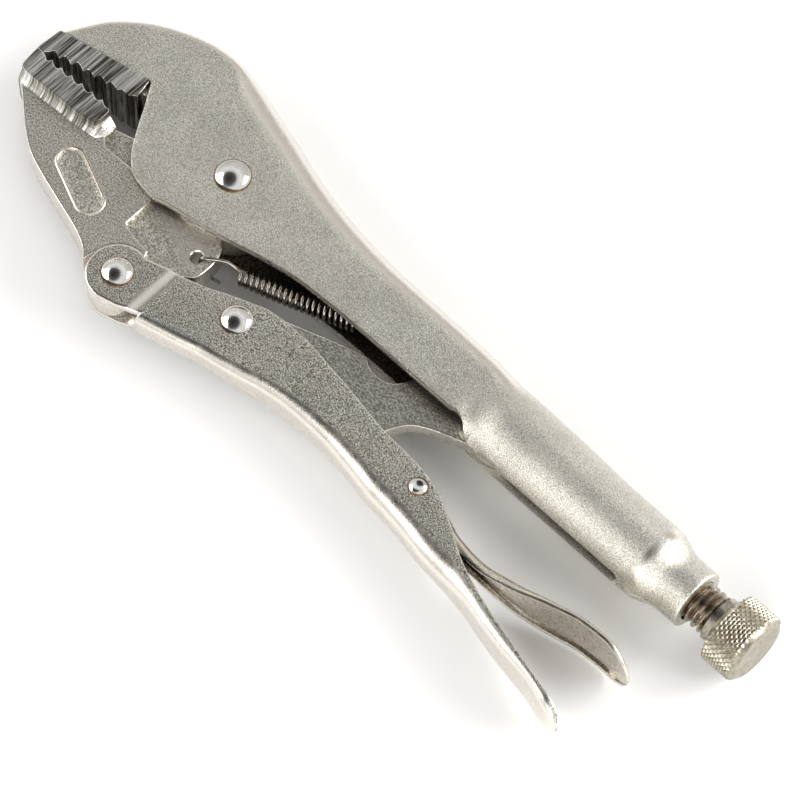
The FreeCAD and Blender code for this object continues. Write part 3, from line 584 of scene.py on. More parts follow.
# the back of the handle, and the free edge of its side plates at the same stations
BACK = [(-61.9, -0.75), (-60.0, 3.5), (-56.4, 9.9), (-48.0, 17.6), (-41.6, 21.2),
        (-36.0, 23.5), (-31.2, 24.85),
        (-27.2, 25.45), (-23.8, 25.7), (-21.0, 25.65), (-18.6, 25.5), (-15.2, 25.1),
        (-10.5, 24.2), (-6.5, 23.2), (2.0, 20.9), (10.8, 18.3), (22.6, 15.35),
        (34.4, 13.45), (49.0, 12.15), (60.0, 11.95), (72.0, 11.8), (84.0, 11.45)]
EDGE = [(-61.4, -0.75), (-57.8, 0.0), (-52.8, 1.05), (-45.5, 2.6), (-39.6, 3.85),
        (-35.3, 4.7), (-31.9, 0.4),
        (-27.6, -6.9), (-24.1, -12.3), (-21.4, -15.3), (-18.9, -17.0), (-15.5, -17.9),
        (-10.7, -18.45), (-6.5, -17.4), (2.0, -15.9), (10.8, -14.2), (22.6, -11.2),
        (34.4, -9.3), (49.0, -8.55), (60.0, -8.45), (72.0, -8.45), (84.0, -8.4)]
#  (station, inset of the fold, fold width) along the pairs above
FOLD = [(0, 1.0, 1.6), (2, 2.2, 2.2), (4, 2.5, 2.6), (7, 3.0, 3.0), (8.5, 3.8, 3.6),
        (10, 5.6, 4.8), (11, 8.0, 5.8), (12, 9.3, 6.6), (13, 9.2, 7.1),
        (15, 8.6, 7.3), (17, 8.3, 7.4), (18, 7.2, 7.45), (21, 6.8, 7.5)]
#  (station, top, bottom, half width) of the rear tube
TUBE = [(84.0, 11.5, -11.0, HANDLE_HALF), (90.0, 11.15, -11.35, 8.35), (98.0, 10.8, -11.5, 9.2),
        (106.0, 10.5, -11.5, 9.75), (116.0, 10.2, -11.5, 10.1), (132.0, 9.4, -11.5, 10.35),
        (148.2, 9.28, -11.48, 10.35), (149.6, 9.15, -11.35, 10.2), (155.2, 7.3, -9.5, 8.4),
        (156.8, 7.1, -9.3, 8.2), (162.9, 7.1, -9.3, 8.2)]
HANDLE_END = 163.2
MOUTH_ROUND = 0.55      # rounding at the mouth of the neck
BORE = 5.95             # radius of the threaded neck's bore
SLOT_HALF = 2.6         # half the gap where the tube's lips face each other
SLOT_CLOSES = 143.4     # where the lips begin to meet
HANDLE_STEPS = (9, 12, 3)           # points on the flat, on the fold and on the crown
PLATE_HEIGHT, PLATE_FOLD = 19.9, (6.8, 7.5)    # the plates' section where the tube begins
TAB = [(55.6, 10.6), (57.6, 10.6), (57.6, -2.2), (57.0, -3.3), (56.2, -3.3), (55.6, -2.2)]


def tube_section(x, inset, inner):
    """Half of the tube's section at a station, from the lip of the slot to the crown."""
    flat_steps, fold_steps, top_steps = HANDLE_STEPS
    stations, *columns = zip(*TUBE)
    top, bottom, half = (float(steady(stations, c, min(x, stations[-1]))[0]) for c in columns)
    centre, tall = (top + bottom) / 2, (top - bottom) / 2
    if inner:
        bore = ease(x, 146.0, 150.0)
        tall = (tall - SHEET) * (1 - bore) + BORE * bore
        half = (half - SHEET) * (1 - bore) + BORE * bore
        centre = centre * (1 - bore) + AXIS_Y * bore
    tall, half = tall - inset, half - inset
    closing = max(0.0, (x - SLOT_CLOSES) / SLOT_HALF)
    gap = SLOT_HALF * math.sqrt(max(0.0, 1 - closing ** 2))
    gap = max(gap, 0.12) + (0.0 if inner else 0.15)
    lip = math.pi - math.asin(min(gap / half, 0.95))
    low, high = math.radians(84), math.radians(12)
    angles = [lip + (low - lip) * k / flat_steps for k in range(flat_steps)]
    angles += [low + (high - low) * k / fold_steps for k in range(fold_steps)]
    angles += [high * (1 - k / top_steps) for k in range(top_steps + 1)]
    return [(centre + tall * math.cos(a), half * math.sin(a)) for a in angles]


def tube_loop(x):
    """The tube's whole section: outside, far lip, inside and near lip."""
    past = max(0.0, x - (HANDLE_END - MOUTH_ROUND))
    inset = MOUTH_ROUND - math.sqrt(max(0.0, MOUTH_ROUND ** 2 - past ** 2))
    outer = tube_section(x, inset, False)
    inner = tube_section(x, 0.0, True)
    outer_far = [(y, -z) for y, z in reversed(outer[:-1])]
    inner_far = [(y, -z) for y, z in reversed(inner[:-1])]
    a, b = np.array(outer[0]), np.array(inner[0])
    lip = [tuple(a + (b - a) * t + np.array([-0.12, -0.1]) * k)
           for t, k in ((0.06, 1.0), (0.3, 1.6), (0.7, 1.6), (0.94, 1.0))]
    lip_far = [(y, -z) for y, z in lip]
    return outer + outer_far + lip_far + list(reversed(inner + inner_far)) + list(reversed(lip))


def tube_polish(value, x):
    """Polish along the tube: evener than on the plates, and brighter at the shoulder."""
    if value < -0.5:
        return value
    worn = ease(x, 86, 100)
    shoulder = 0.45 * ease(x, 147, 149) * (1 - ease(x, 149, 152))
    return min(max(value, 0.0) * (1 - 0.75 * worn) + 0.12 * worn + shoulder, 1.0)


def plate_rings():
    """Sections of the folded side plates, square to the line from edge to back."""
    keys = range(len(BACK))
    back_x, back_y = zip(*BACK)
    edge_x, edge_y = zip(*EDGE)
    fold_key, fold_in, fold_out = zip(*FOLD)

    def back_at(s):
        return np.array([float(steady(keys, column, s)[0]) for column in (back_x, back_y)])

    rings, shines = [], []
    stations = list(np.linspace(0, 5, 41)) + list(np.linspace(5, 14, 64))[1:]
    for s in stations + list(np.linspace(14, 21, 50))[1:]:
        b = back_at(s)
        e = np.array([float(steady(keys, column, s)[0]) for column in (edge_x, edge_y)])
        ahead = back_at(s + 0.02) - back_at(s - 0.02)
        ahead /= max(np.linalg.norm(ahead), 1e-9)
        height = max(np.linalg.norm(b - e), 0.25)
        way = (b - e) / height
        square = max(abs(ahead[0] * way[1] - ahead[1] * way[0]), 0.45)
        loop = channel_loop(height, HANDLE_HALF, float(steady(fold_key, fold_in, s)[0]) / square,
                            float(steady(fold_key, fold_out, s)[0]), SHEET, *HANDLE_STEPS)
        rings.append([(e[0] + way[0] * h, e[1] + way[1] * h, z) for h, z, p in loop])
        shines.append([p for h, z, p in loop])
    return rings, shines


def tube_rings():
    """Sections where the plates curl into the tube, and on to the end of the neck."""
    outer_count = 2 * (sum(HANDLE_STEPS) + 1) - 1
    plate_end = channel_loop(PLATE_HEIGHT, HANDLE_HALF, *PLATE_FOLD, SHEET, *HANDLE_STEPS)
    stations = [*np.linspace(84.6, 99.0, 25), *np.linspace(101, 141, 21), *np.linspace(142, 147, 16),
                *np.linspace(147.6, 158, 22), 160.0, 162.0, 162.6, 162.95, 163.12, HANDLE_END]
    rings, shines = [], []
    for x in stations:
        # the plates' section carried on to this station, then given up for the tube's
        lower = -8.4 + 0.7 * ease(x, 84.5, 87.4) - 0.5 * ease(x, 87.4, 91.0)
        crown = 11.4 - 0.096 * (x - 84)
        share, curl = ease(x, 85.5, 99.0), ease(x, 88.0, 94.0)
        ring = []
        for k, ((h, plate_z, _), (tube_y, tube_z)) in enumerate(zip(plate_end, tube_loop(x))):
            plate_y = lower + h * (crown - lower) / PLATE_HEIGHT
            from_lip = min(k, abs(outer_count - 1 - k)) if k < outer_count else 0
            t = max(share, curl * max(0.0, 1 - from_lip / 5.0))
            ring.append((x, plate_y + (tube_y - plate_y) * t, plate_z + (tube_z - plate_z) * t))
        rings.append(ring)
        shines.append([tube_polish(p, x) for _, _, p in plate_end])
    return rings, shines


def make_handle_body():
    """The folded sheet of the fixed handle, with the tab for the spring inside."""
    shell = Shell()
    rings, shines = (a + b for a, b in zip(plate_rings(), tube_rings()))
    made = shell.skin(rings, shines)
    shell.cap_channel(made[0], reverse=True)
    shell.cap_channel(made[-1])
    # the inside faces and the spring tab go on the near-black material, painted shade for the shadow inside
    # the handle
    split_inside(shell, 1)
    shell.plate(TAB, slab_levels(2.75, 0.3, 0.5), 1)
    return finish_mesh("handle_shell", shell, [handle_nickel, painted_inner_shade], "fixed_handle",
                       "handle_body", sharp=38)


# ------------------------------------------------------------------ jaws

PAD_HALF = 8.35         # half width of both jaws' pads


def toothed(tips, valleys):
    """A row of scalloped teeth from alternating valleys and tips, each hollow rounded."""
    row = []
    for i, valley in enumerate(valleys):
        row.append(valley)
        row += tips[i:i + 1]
    out = []
    steps = 5
    for k in range(len(row) - 1):
        a, b = row[k], row[k + 1]
        for t in (j / steps for j in range(steps)):
            quarter = t * math.pi / 2
            bend = math.sin(quarter) if k % 2 else 1 - math.cos(quarter)
            out.append((a[0] + (b[0] - a[0]) * t, a[1] + (b[1] - a[1]) * bend))
    out.append(row[-1])
    return out


def make_fixed_jaw():
    """The toothed pad, and the tongue that is welded between the side plates."""
    tips = [(-56.3, -7.1), (-52.7, -6.3), (-49.1, -5.5), (-45.7, -4.8), (-42.3, -3.9),
            (-38.7, -3.1), (-35.2, -2.2)]
    valleys = [(-58.7, -6.3), (-55.4, -5.5), (-51.9, -4.6), (-48.4, -4.1), (-45.2, -3.2),
               (-41.7, -2.7), (-38.2, -2.2), (-34.6, -1.4)]
    outline = [(-62.66, -8.45), (-60.4, -8.42), (-59.7, -7.7)] + toothed(tips, valleys) \
        + [(-33.9, -1.0), (-34.3, 1.8), (-34.9, 4.3), (-35.3, 4.8)] \
        + [(-48.0, 2.0), (-61.7, -0.95), (-62.1, -1.3)]
    shell = Shell()
    shell.plate(dense(outline, 4.0), slab_levels(PAD_HALF, 0.22, 0.6))
    tongue = [(-59.0, 0.5), (-54.5, 8.0), (-47.0, 14.6), (-36.0, 20.3), (-23.4, 22.6), (-16.0, 22.0)] \
        + arc((0, 0), 16.5, 128, 172, 8) + [(-20.0, 0.5), (-33.0, 2.0), (-50.0, -2.0), (-58.5, -3.6)]
    shell.plate(dense(tongue, 5.0), slab_levels(5.5, 0.3, 0.2), 1)
    return finish_mesh("fixed_jaw_forging", shell, [jaw_ground, forged_nickel], "fixed_handle",
                       "fixed_jaw", sharp=30)


def cut_by(piece, tool):
    """Cuts a tool's shape out of a part and throws the tool away."""
    modifier = piece.modifiers.new("cut", "BOOLEAN")
    modifier.operation = "DIFFERENCE"
    modifier.solver = "EXACT"
    modifier.object = tool
    graph = bpy.context.evaluated_depsgraph_get()
    mesh = bpy.data.meshes.new_from_object(piece.evaluated_get(graph))
    piece.modifiers.clear()
    old = piece.data
    piece.data = mesh
    bpy.data.meshes.remove(old)
    bpy.data.objects.remove(tool)
    mesh.name = piece.name
    mesh.set_sharp_from_angle(angle=math.radians(32))


def moving_pad():
    """The moving jaw's toothed pad, spreading to a wider foot where it meets the arm."""
    tips = [(-57.1, -8.55), (-53.8, -8.4), (-50.3, -8.2), (-46.7, -8.0), (-43.0, -7.9), (-39.5, -7.7)]
    valleys = [(-58.1, -9.7), (-54.7, -9.6), (-51.1, -9.4), (-47.6, -9.2), (-44.1, -9.0),
               (-40.5, -8.8), (-37.2, -8.7)]
    top = [(-62.66, -8.6), (-60.5, -8.62), (-59.5, -8.9)] + toothed(tips, valleys) + [(-36.3, -8.5)]
    rear = [(-35.7, -9.2), (-35.55, -10.6), (-35.6, -12.3), (-36.3, -14.0)]
    under = [(-40.0, -14.85), (-47.5, -15.3), (-54.0, -15.6), (-60.0, -15.75), (-61.5, -15.2),
             (-62.0, -14.6)]
    foot_rear = [(-32.9, -9.6), (-32.4, -11.2), (-32.7, -13.8), (-34.2, -15.8)]
    foot_under = [(-40.0, -16.8), (-47.0, -17.1), (-54.0, -17.6), (-59.6, -17.9), (-61.2, -17.2),
                  (-61.9, -15.6)]
    outline, foot = np.array(top + rear + under), np.array(top + foot_rear + foot_under)
    #  (z, share of the foot, growth, polish) from the arm's face out to the pad's side
    levels = [(4.6, 1.0, 0.0, 0.0), (4.85, 0.93, 0.0, 0.2), (5.15, 0.78, 0.0, 0.3), (5.6, 0.55, 0.0, 0.4),
              (6.2, 0.30, 0.0, 0.5), (6.9, 0.12, 0.0, 0.6), (7.6, 0.02, 0.0, 0.8), (8.1, 0.0, 0.0, 1.0),
              (8.29, 0.0, -0.07, 1.0), (PAD_HALF, 0.0, -0.22, 0.6), (PAD_HALF, 0.0, -0.5, 0.0)]
    near, shine = [], []
    for z, share, growth, polish in levels:
        ring = outline + (foot - outline) * share
        near.append([(x, y, z) for x, y in (grown(ring, growth) if growth else ring)])
        shine.append(polish)
    far = [[(x, y, -z) for x, y, z in ring] for ring in reversed(near)]
    shell = Shell()
    shell.tube(far + near, shine[::-1] + shine)
    pad = solid("pad", shell, [jaw_ground, forged_nickel])
    for polygon in pad.data.polygons:
        ground = abs(polygon.normal.z) > 0.995 or polygon.normal.y > 0.25
        polygon.material_index = 0 if ground else 1
    return pad


def moving_arm(capsule):
    """The thick arm behind the pad, with the oval recess in its near face."""
    outer = through([(-60.2, -17.2), (-56.0, -20.6), (-50.0, -25.6), (-43.5, -29.9), (-36.2, -32.6),
                     (-27.5, -35.1), (-19.2, -37.5), (-14.3, -39.6), (-11.2, -42.2)], 4)
    ear = arc(JAW_RIVET, 8.3, 172, 80, 12)
    outline = [(-60.0, -14.0), (-37.0, -12.5), (-33.2, -13.2), (-30.5, -15.6), (-21.6, -15.2),
               (-11.6, -15.1), (-10.8, -15.9), (-10.8, -27.2), (-10.0, -28.0), (-1.0, -29.4)] \
        + list(reversed(ear)) + [(-10.4, -38.6)] + list(reversed(outer))
    arm = Shell()
    arm.plate(dense(outline, 6.0), slab_levels(4.8, 0.4, 0.8))
    piece = solid("arm", arm, [forged_nickel])
    recess = Shell()
    recess.plate(capsule, [(4.2, -0.5, 0.0), (4.35, -0.15, 0.6), (4.9, 0.1, 0.8), (6.0, 0.3, 0.8)])
    cut_by(piece, solid("tool", recess, [forged_nickel]))
    return piece


def moving_web():
    """The thin web between the plates, with its tang and the hole for the spring."""
    tang = through([(9.4, -13.3), (11.5, -15.2), (12.7, -19.0), (12.9, -22.0), (12.3, -25.6),
                    (9.6, -28.0), (8.0, -31.0), (6.2, -35.6)], 4)
    outline = [(-59.0, -13.0), (-33.0, -9.6), (-24.0, -7.0), (-15.0, 0.0), (-8.0, 8.0),
               (6.0, 8.0), (8.9, -9.0)] \
        + tang + arc(JAW_RIVET, 8.2, 0, -175, 22) \
        + [(-14.3, -39.2), (-27.5, -34.5), (-50.0, -25.0), (-59.0, -17.4)]
    web = Shell()
    web.plate(dense(outline, 6.0), slab_levels(3.3, 0.5, 0.7))
    piece = solid("web", web, [forged_nickel])
    hole = Shell()
    levels = ((-6, 0), (-3.3, 0.25), (-3.0, 0), (3.0, 0), (3.3, 0.25), (6, 0))
    hole.plate(arc(SPRING_HOLE, 1.7, 0, 352.5, 48), [(z, growth, 0.8) for z, growth in levels])
    cut_by(piece, solid("tool", hole, [painted_inner_shade]))
    return piece


def recess_rim(capsule):
    """The raised rim round the oval recess."""
    rim = Shell()
    levels = [(4.55, 0.75), (4.95, 0.62), (5.08, 0.4), (5.05, 0.15), (4.8, -0.02), (4.4, -0.1)]
    rows = [rim.ring([(x, y, z) for x, y in grown(capsule, growth)], 0.9) for z, growth in levels]
    for a, b in zip(rows, rows[1:] + rows[:1]):
        rim.band(a, b)
    return solid("rim", rim, [forged_nickel])


def make_moving_jaw():
    """Pad, arm, web and pivot boss as one forging."""
    first, last = (-33.9, -24.6), (-21.9, -29.6)
    turn = math.degrees(math.atan2(last[1] - first[1], last[0] - first[0]))
    capsule = arc(last, 3.5, turn - 90, turn + 90, 13) + arc(first, 3.5, turn + 90, turn + 270, 13)
    boss = Shell()
    boss.plate(arc((0, 0), 16.0, 0, 354, 60), slab_levels(5.4, 0.4, 0.3))
    parts = [moving_pad(), moving_arm(capsule), moving_web(), solid("boss", boss, [forged_nickel]),
             recess_rim(capsule)]
    return settle(join("moving_jaw_forging", parts), "jaw", "moving_jaw")


def join(name, pieces):
    """Several closed parts as one piece, each face keeping its material."""
    materials = []
    for p in pieces:
        materials += [m for m in p.data.materials if m not in materials]
    points, faces, slots, polish = [], [], [], []
    for p in pieces:
        base = len(points)
        points += [tuple(v.co) for v in p.data.vertices]
        values = np.zeros(len(p.data.vertices), np.float32)
        if "polish" in p.data.attributes:
            p.data.attributes["polish"].data.foreach_get("value", values)
        polish += values.tolist()
        for f in p.data.polygons:
            faces.append(tuple(base + v for v in f.vertices))
            slots.append(materials.index(p.data.materials[f.material_index]))
    mesh = plain_mesh(name, points, faces, materials, slots, polish)
    turn_outwards(mesh, 32)
    for p in pieces:
        bpy.data.objects.remove(p)
    return in_scene(name, mesh)


# ------------------------------------------------------------------ lever

#  (station, spine, lip, half width, fold) of the lever's channel
LEVER = [(10.0, -45.15, -28.2, 4.65, 2.4), (17.0, -43.4, -25.9, 4.65, 2.4), (23.0, -41.8, -23.2, 4.65, 2.5),
         (28.0, -40.4, -21.2, 4.65, 2.6), (33.0, -39.5, -19.5, 4.75, 2.7), (38.9, -38.4, -19.1, 5.15, 2.9),
         (46.5, -36.8, -19.4, 5.75, 3.1), (53.0, -36.0, -20.2, 6.1, 3.2), (59.0, -35.75, -21.0, 6.2, 3.5),
         (67.0, -36.0, -22.2, 6.2, 3.9), (78.0, -37.4, -23.9, 6.2, 4.5), (86.0, -38.8, -24.4, 6.2, 4.8),
         (92.0, -39.4, -24.9, 6.2, 5.2), (99.5, -40.35, -26.8, 6.2, 5.6), (106.8, -41.65, -30.4, 6.25, 5.8),
         (115.3, -42.45, -35.4, 6.4, 5.4), (122.8, -43.2, -38.5, 6.6, 4.4), (131.0, -45.0, -41.0, 6.8, 3.8),
         (139.0, -46.5, -43.0, 7.0, 3.3), (148.8, -48.0, -45.6, 7.15, 2.8), (156.9, -50.2, -47.4, 7.25, 2.6),
         (161.2, -51.0, -48.75, 7.3, 2.2), (162.4, -50.98, -50.3, 7.3, 0.6)]


def spoon_half(x, end, depth, half):
    """Half width with the end rounded off as an arc."""
    if x < end - depth:
        return half
    t = min((x - (end - depth)) / depth, 0.999)
    return half * math.sqrt(1 - t ** 2.2)


def lever_channel():
    """The folded channel of the lever, from the ears to the rounded tail."""
    shell = Shell()
    keys, *columns = zip(*LEVER)
    start, end, closing = keys[0], keys[-1], 2.4
    stations = [start, start + 0.15, start + 0.5, *np.linspace(11.5, 150, 116), *np.linspace(151, 160, 14),
                *(end - closing * (1 - np.sin(np.linspace(0, math.pi / 2, 12))))[1:]]
    rings, shines = [], []
    for x in stations:
        spine, lip, half, fold = (float(steady(keys, column, x)[0]) for column in columns)
        half = max(spoon_half(x, end + 0.05, 7.0, half), 0.9)
        height = max(lip - spine, 0.7)
        wall = min(LEVER_SHEET, 0.8 * height, 0.8 * half)
        trim = 0.25 * (1 - ease(x, start, start + 0.5))
        fold = min(fold, 0.8 * half)
        loop = channel_loop(height - trim, half - trim, fold * 1.25, fold * 1.05, wall, 5, 10, 3)
        rings.append([(x, spine + height - h, z) for h, z, p in loop])
        shines.append([p for h, z, p in loop])
    made = shell.skin(rings, shines)
    shell.cap_channel(made[0])
    shell.cap_channel(made[-1])
    # the inside faces go on the near-black material, painted shade for the shadow inside the channel
    split_inside(shell, 1)
    return solid("channel", shell, [satin_nickel, painted_inner_shade])


def lever_ear(side):
    """One ear, stepped inwards behind the jaw rivet to meet the channel's side."""
    outline = arc(JAW_RIVET, 8.2, 73, 288, 40) \
        + [(4.4, -45.9), (8.0, -44.2), (10.6, -42.6), (13.0, -41.5), (13.0, -27.4), (8.8, -28.45)]
    levels = [(3.42, -0.55, 0.0), (3.42, -0.3, 0.3), (3.5, -0.1, 0.8), (3.72, 0.0, 1.0), (5.1, 0.0, 1.0),
              (5.38, -0.1, 1.0), (5.52, -0.3, 1.0), (5.55, -0.55, 0.9), (5.55, -0.8, 0.0)]
    ear = Shell()
    ear.plate(dense(outline, 5.0), levels)
    piece = solid("ear", ear, [satin_nickel])
    work = bmesh.new()
    work.from_mesh(piece.data)
    shine = work.verts.layers.float["polish"]
    for cut in np.linspace(5.6, 10.0, 9):
        bmesh.ops.bisect_plane(work, geom=work.verts[:] + work.edges[:] + work.faces[:], dist=1e-7,
                               plane_co=Vector((cut / 1000 + HOME[0], 0, 0)), plane_no=Vector((1, 0, 0)))
    for v in work.verts:
        x = (v.co.x - HOME[0]) * 1000
        v.co.z -= 0.93 * ease(x, 6.0, 9.8) / 1000
        if 6.2 < x < 9.7:
            v[shine] = max(v[shine], 0.9)
        if side < 0:
            v.co.z = 2 * HOME[2] - v.co.z
    work.to_mesh(piece.data)
    work.free()
    return piece


def make_lever():
    """The channel and its two ears as one sheet."""
    piece = join("lever_shell", [lever_channel(), lever_ear(1), lever_ear(-1)])
    return settle(piece, "operating_lever", "lever")


# ------------------------------------------------------------------ link

def make_link():
    """The flat link, from its eye on the lever to the nose inside the tube."""
    eye = arc(LINK_RIVET, 6.6, 118, 262, 22)
    lower = through([(36.0, -33.4), (53.3, -30.2), (66.0, -28.0), (73.1, -26.4), (76.1, -24.6),
                     (76.9, -21.8), (79.6, -17.2), (83.4, -14.6), (88.4, -12.5), (94.4, -10.5),
                     (101.0, -9.6), (104.1, -6.2)], 4)
    nose = [(105.2, -3.6), (105.25, -1.1), (105.2, 1.3), (103.7, 3.1)]
    upper = through([(90.0, 2.9), (82.0, 0.6), (74.0, -4.4), (71.5, -6.8), (69.9, -9.6),
                     (68.3, -11.6), (65.1, -12.7), (62.2, -12.55), (60.2, -11.7), (58.8, -10.75),
                     (56.0, -11.3), (36.1, -18.15)], 4)
    shell = Shell()
    shell.plate(dense(eye + lower + nose + upper, 5.0), slab_levels(2.1, 0.4, 0.7))
    return finish_mesh("toggle_link_plate", shell, [smooth_nickel], "link",
                       "toggle_link", sharp=34)


# ------------------------------------------------------------------ release lever

#  (station from the pin, spine, lip, half width, fold inwards, fold across)
RELEASE = [(-20.5, -1.2, -3.9, 3.65, 1.9, 1.9), (-10.0, 1.8, -4.3, 3.65, 1.9, 1.9),
           (0.0, 2.7, -4.4, 3.65, 1.9, 1.9), (9.1, 1.0, -4.2, 3.65, 1.9, 1.9),
           (16.1, -1.4, -4.7, 3.65, 1.9, 1.9), (24.8, -2.25, -5.1, 4.1, 2.2, 2.4),
           (34.7, -1.4, -4.2, 6.5, 2.2, 3.0), (46.1, 0.9, -1.5, 8.8, 1.9, 5.0),
           (55.2, 2.9, 0.6, 9.25, 1.8, 6.5), (62.0, 3.3, 1.0, 9.25, 1.8, 7.0),
           (67.0, 2.7, 0.4, 9.2, 1.8, 7.0), (71.4, 1.7, -0.5, 9.0, 1.8, 7.0)]


def make_release_lever():
    """A narrow channel pinned in the lever, flared and flattened to a spoon."""
    shell = Shell()
    keys, *columns = zip(*RELEASE)
    end, closing = 71.45, 9.2
    stations = [*np.linspace(keys[0], end - closing - 0.25, 84),
                *(end - closing * (1 - np.sin(np.linspace(0, math.pi / 2, 22))))]
    rings, shines = [], []
    for s in stations:
        spine, lip, half, fold_in, fold_out = (float(steady(keys, column, s)[0]) for column in columns)
        shrink = spoon_half(s, end, 9.0, 1.0)
        half = max(half * shrink, 0.9)
        # the rim rises towards the crown as the spoon's end closes
        height = max((spine - lip) * (0.35 + 0.65 * shrink ** 1.2), 1.2)
        wall = min(RELEASE_SHEET, 0.8 * height, 0.8 * half)
        loop = channel_loop(height, half, fold_in * min(1, height / 2.8), min(fold_out, 0.86 * half),
                            wall, 3, 12, 5)
        top = RELEASE_PIN[1] + spine - 0.9 * (1 - shrink)
        rings.append([(RELEASE_PIN[0] + s, top - height + h, z) for h, z, p in loop])
        flare = ease(s, 24, 48)
        shines.append([max(p, flare) if p > -0.5 else p for h, z, p in loop])
    made = shell.skin(rings, shines)
    shell.cap_channel(made[0])
    shell.cap_channel(made[-1])
    shell.polish = [max(v, 0.0) for v in shell.polish]
    return finish_mesh("release_lever_spoon", shell, [warm_nickel], "release",
                       "release_lever", sharp=38)


# ------------------------------------------------------------------ rivets

def rivet_profile(shank, head, half, rise, dimple):
    """Half of a rivet as (radius, z), with the number of the row where its rust starts."""
    profile = [(0.0, half + rise - dimple)]
    if dimple:
        profile += [(0.35 * head, half + rise - 0.55 * dimple), (0.55 * head, half + rise)]
    dome = (head * head + rise * rise) / (2 * rise)
    for r in (head * k / 12 for k in range(1, 13)):
        if dimple and r <= 0.56 * head:
            continue
        z = half + rise - dome + math.sqrt(max(dome * dome - r * r, 0))
        profile.append((r, max(z, half + 0.22) if r > 0.97 * head else z))
    profile += [(head, half + 0.02)]
    rust_row = len(profile) - 1
    profile += [(head + 0.28, half + 0.05), (head + 0.34, half - 0.03), (shank, half - 0.03)]
    return profile, rust_row


def make_rivet(name, centre, shank, head, grip, rise, body, node, dimple=0.0):
    """A domed head on each side of a plain shank, with a thin ring of rust under each rim."""
    profile, rust_row = rivet_profile(shank, head, grip / 2, rise, dimple)
    full = profile + [(r, -z) for r, z in reversed(profile)]
    shell = Shell()
    angles = np.linspace(0, 2 * math.pi, 48, endpoint=False)
    rows = []
    for i, (r, z) in enumerate(full):
        if r == 0.0:
            rows.append(shell.ring([(centre[0], centre[1], z)], 0.6))
            continue
        # a hand-struck head is never quite round
        uneven = [(a, r * (1 + 0.004 * math.sin(3 * a + i))) for a in angles]
        rows.append(shell.ring([(centre[0] + w * math.cos(a), centre[1] + w * math.sin(a), z)
                                for a, w in uneven], 0.6))
    rusted = range(rust_row, rust_row + 3)
    last = len(full) - 2
    shell.turned_rows(rows, lambda i: 1 if i in rusted or last - i in rusted else 0)
    return finish_mesh(name, shell, [rivet_metal, rust], body, node, sharp=40)


# ------------------------------------------------------------------ geometry node helpers

def node_tree(name, inputs):
    """A geometry tree with named inputs, given as (label, kind, value)."""
    tree = bpy.data.node_groups.new(name, "GeometryNodeTree")
    tree.interface.new_socket("Geometry", in_out="INPUT", socket_type="NodeSocketGeometry")
    for label, kind, value in inputs:
        socket = tree.interface.new_socket(label, in_out="INPUT", socket_type=kind)
        socket.default_value = value
    tree.interface.new_socket("Geometry", in_out="OUTPUT", socket_type="NodeSocketGeometry")
    return tree, tree.nodes.new("NodeGroupInput"), tree.nodes.new("NodeGroupOutput")


def add_node(tree, kind, **settings):
    """A node with its settings made."""
    node = tree.nodes.new(kind)
    for key, value in settings.items():
        setattr(node, key, value)
    return node


def close_tree(tree, geometry, output, material):
    """Realizes the instances, sets the material and joins the output."""
    real = add_node(tree, "GeometryNodeRealizeInstances")
    paint = add_node(tree, "GeometryNodeSetMaterial")
    paint.inputs["Material"].default_value = material
    tree.links.new(geometry, real.inputs[0])
    tree.links.new(real.outputs[0], paint.inputs[0])
    tree.links.new(paint.outputs[0], output.inputs[0])


def run_tree(name, tree, values, base=None):
    """Runs a tree on an object and gives back a plain mesh object."""
    carrier = in_scene(name, base or bpy.data.meshes.new(name))
    modifier = carrier.modifiers.new(name, "NODES")
    modifier.node_group = tree
    names = {item.name: item.identifier for item in tree.interface.items_tree if item.in_out == "INPUT"}
    for label, value in values.items():
        modifier[names[label]] = value
    graph = bpy.context.evaluated_depsgraph_get()
    result = bpy.data.meshes.new_from_object(carrier.evaluated_get(graph))
    carrier.modifiers.clear()
    bpy.data.objects.remove(carrier)
    return in_scene(name, result)


def set_polish(piece, values):
    """Writes the polish of each vertex."""
    mesh = piece.data
    if "polish" in mesh.attributes:
        mesh.attributes.remove(mesh.attributes["polish"])
    layer = mesh.attributes.new("polish", "FLOAT", "POINT")
    layer.data.foreach_set("value", values)


def turned(name, profile, material, sides=72, polish=0.5):
    """A solid turned round the screw axis from (station, radius) points."""
    shell = Shell()
    rows = []
    for x, r in profile:
        if r < 1e-6:
            rows.append(shell.ring([(x, AXIS_Y, 0.0)], polish))
        else:
            rows.append(shell.ring([(x, AXIS_Y + r * math.cos(a), r * math.sin(a))
                                    for a in np.linspace(0, 2 * math.pi, sides, endpoint=False)], polish))
    shell.turned_rows(rows)
    return solid(name, shell, [material])


def axis_radius(vertex):
    """How far a vertex is from the screw axis, in millimetres."""
    return math.hypot(vertex.co.y - HOME[1] - AXIS_Y / 1000, vertex.co.z - HOME[2]) * 1000


# ------------------------------------------------------------------ adjusting screw

THREAD_START = 109.8
STUB = 4.0              # radius of the stub inside the knob


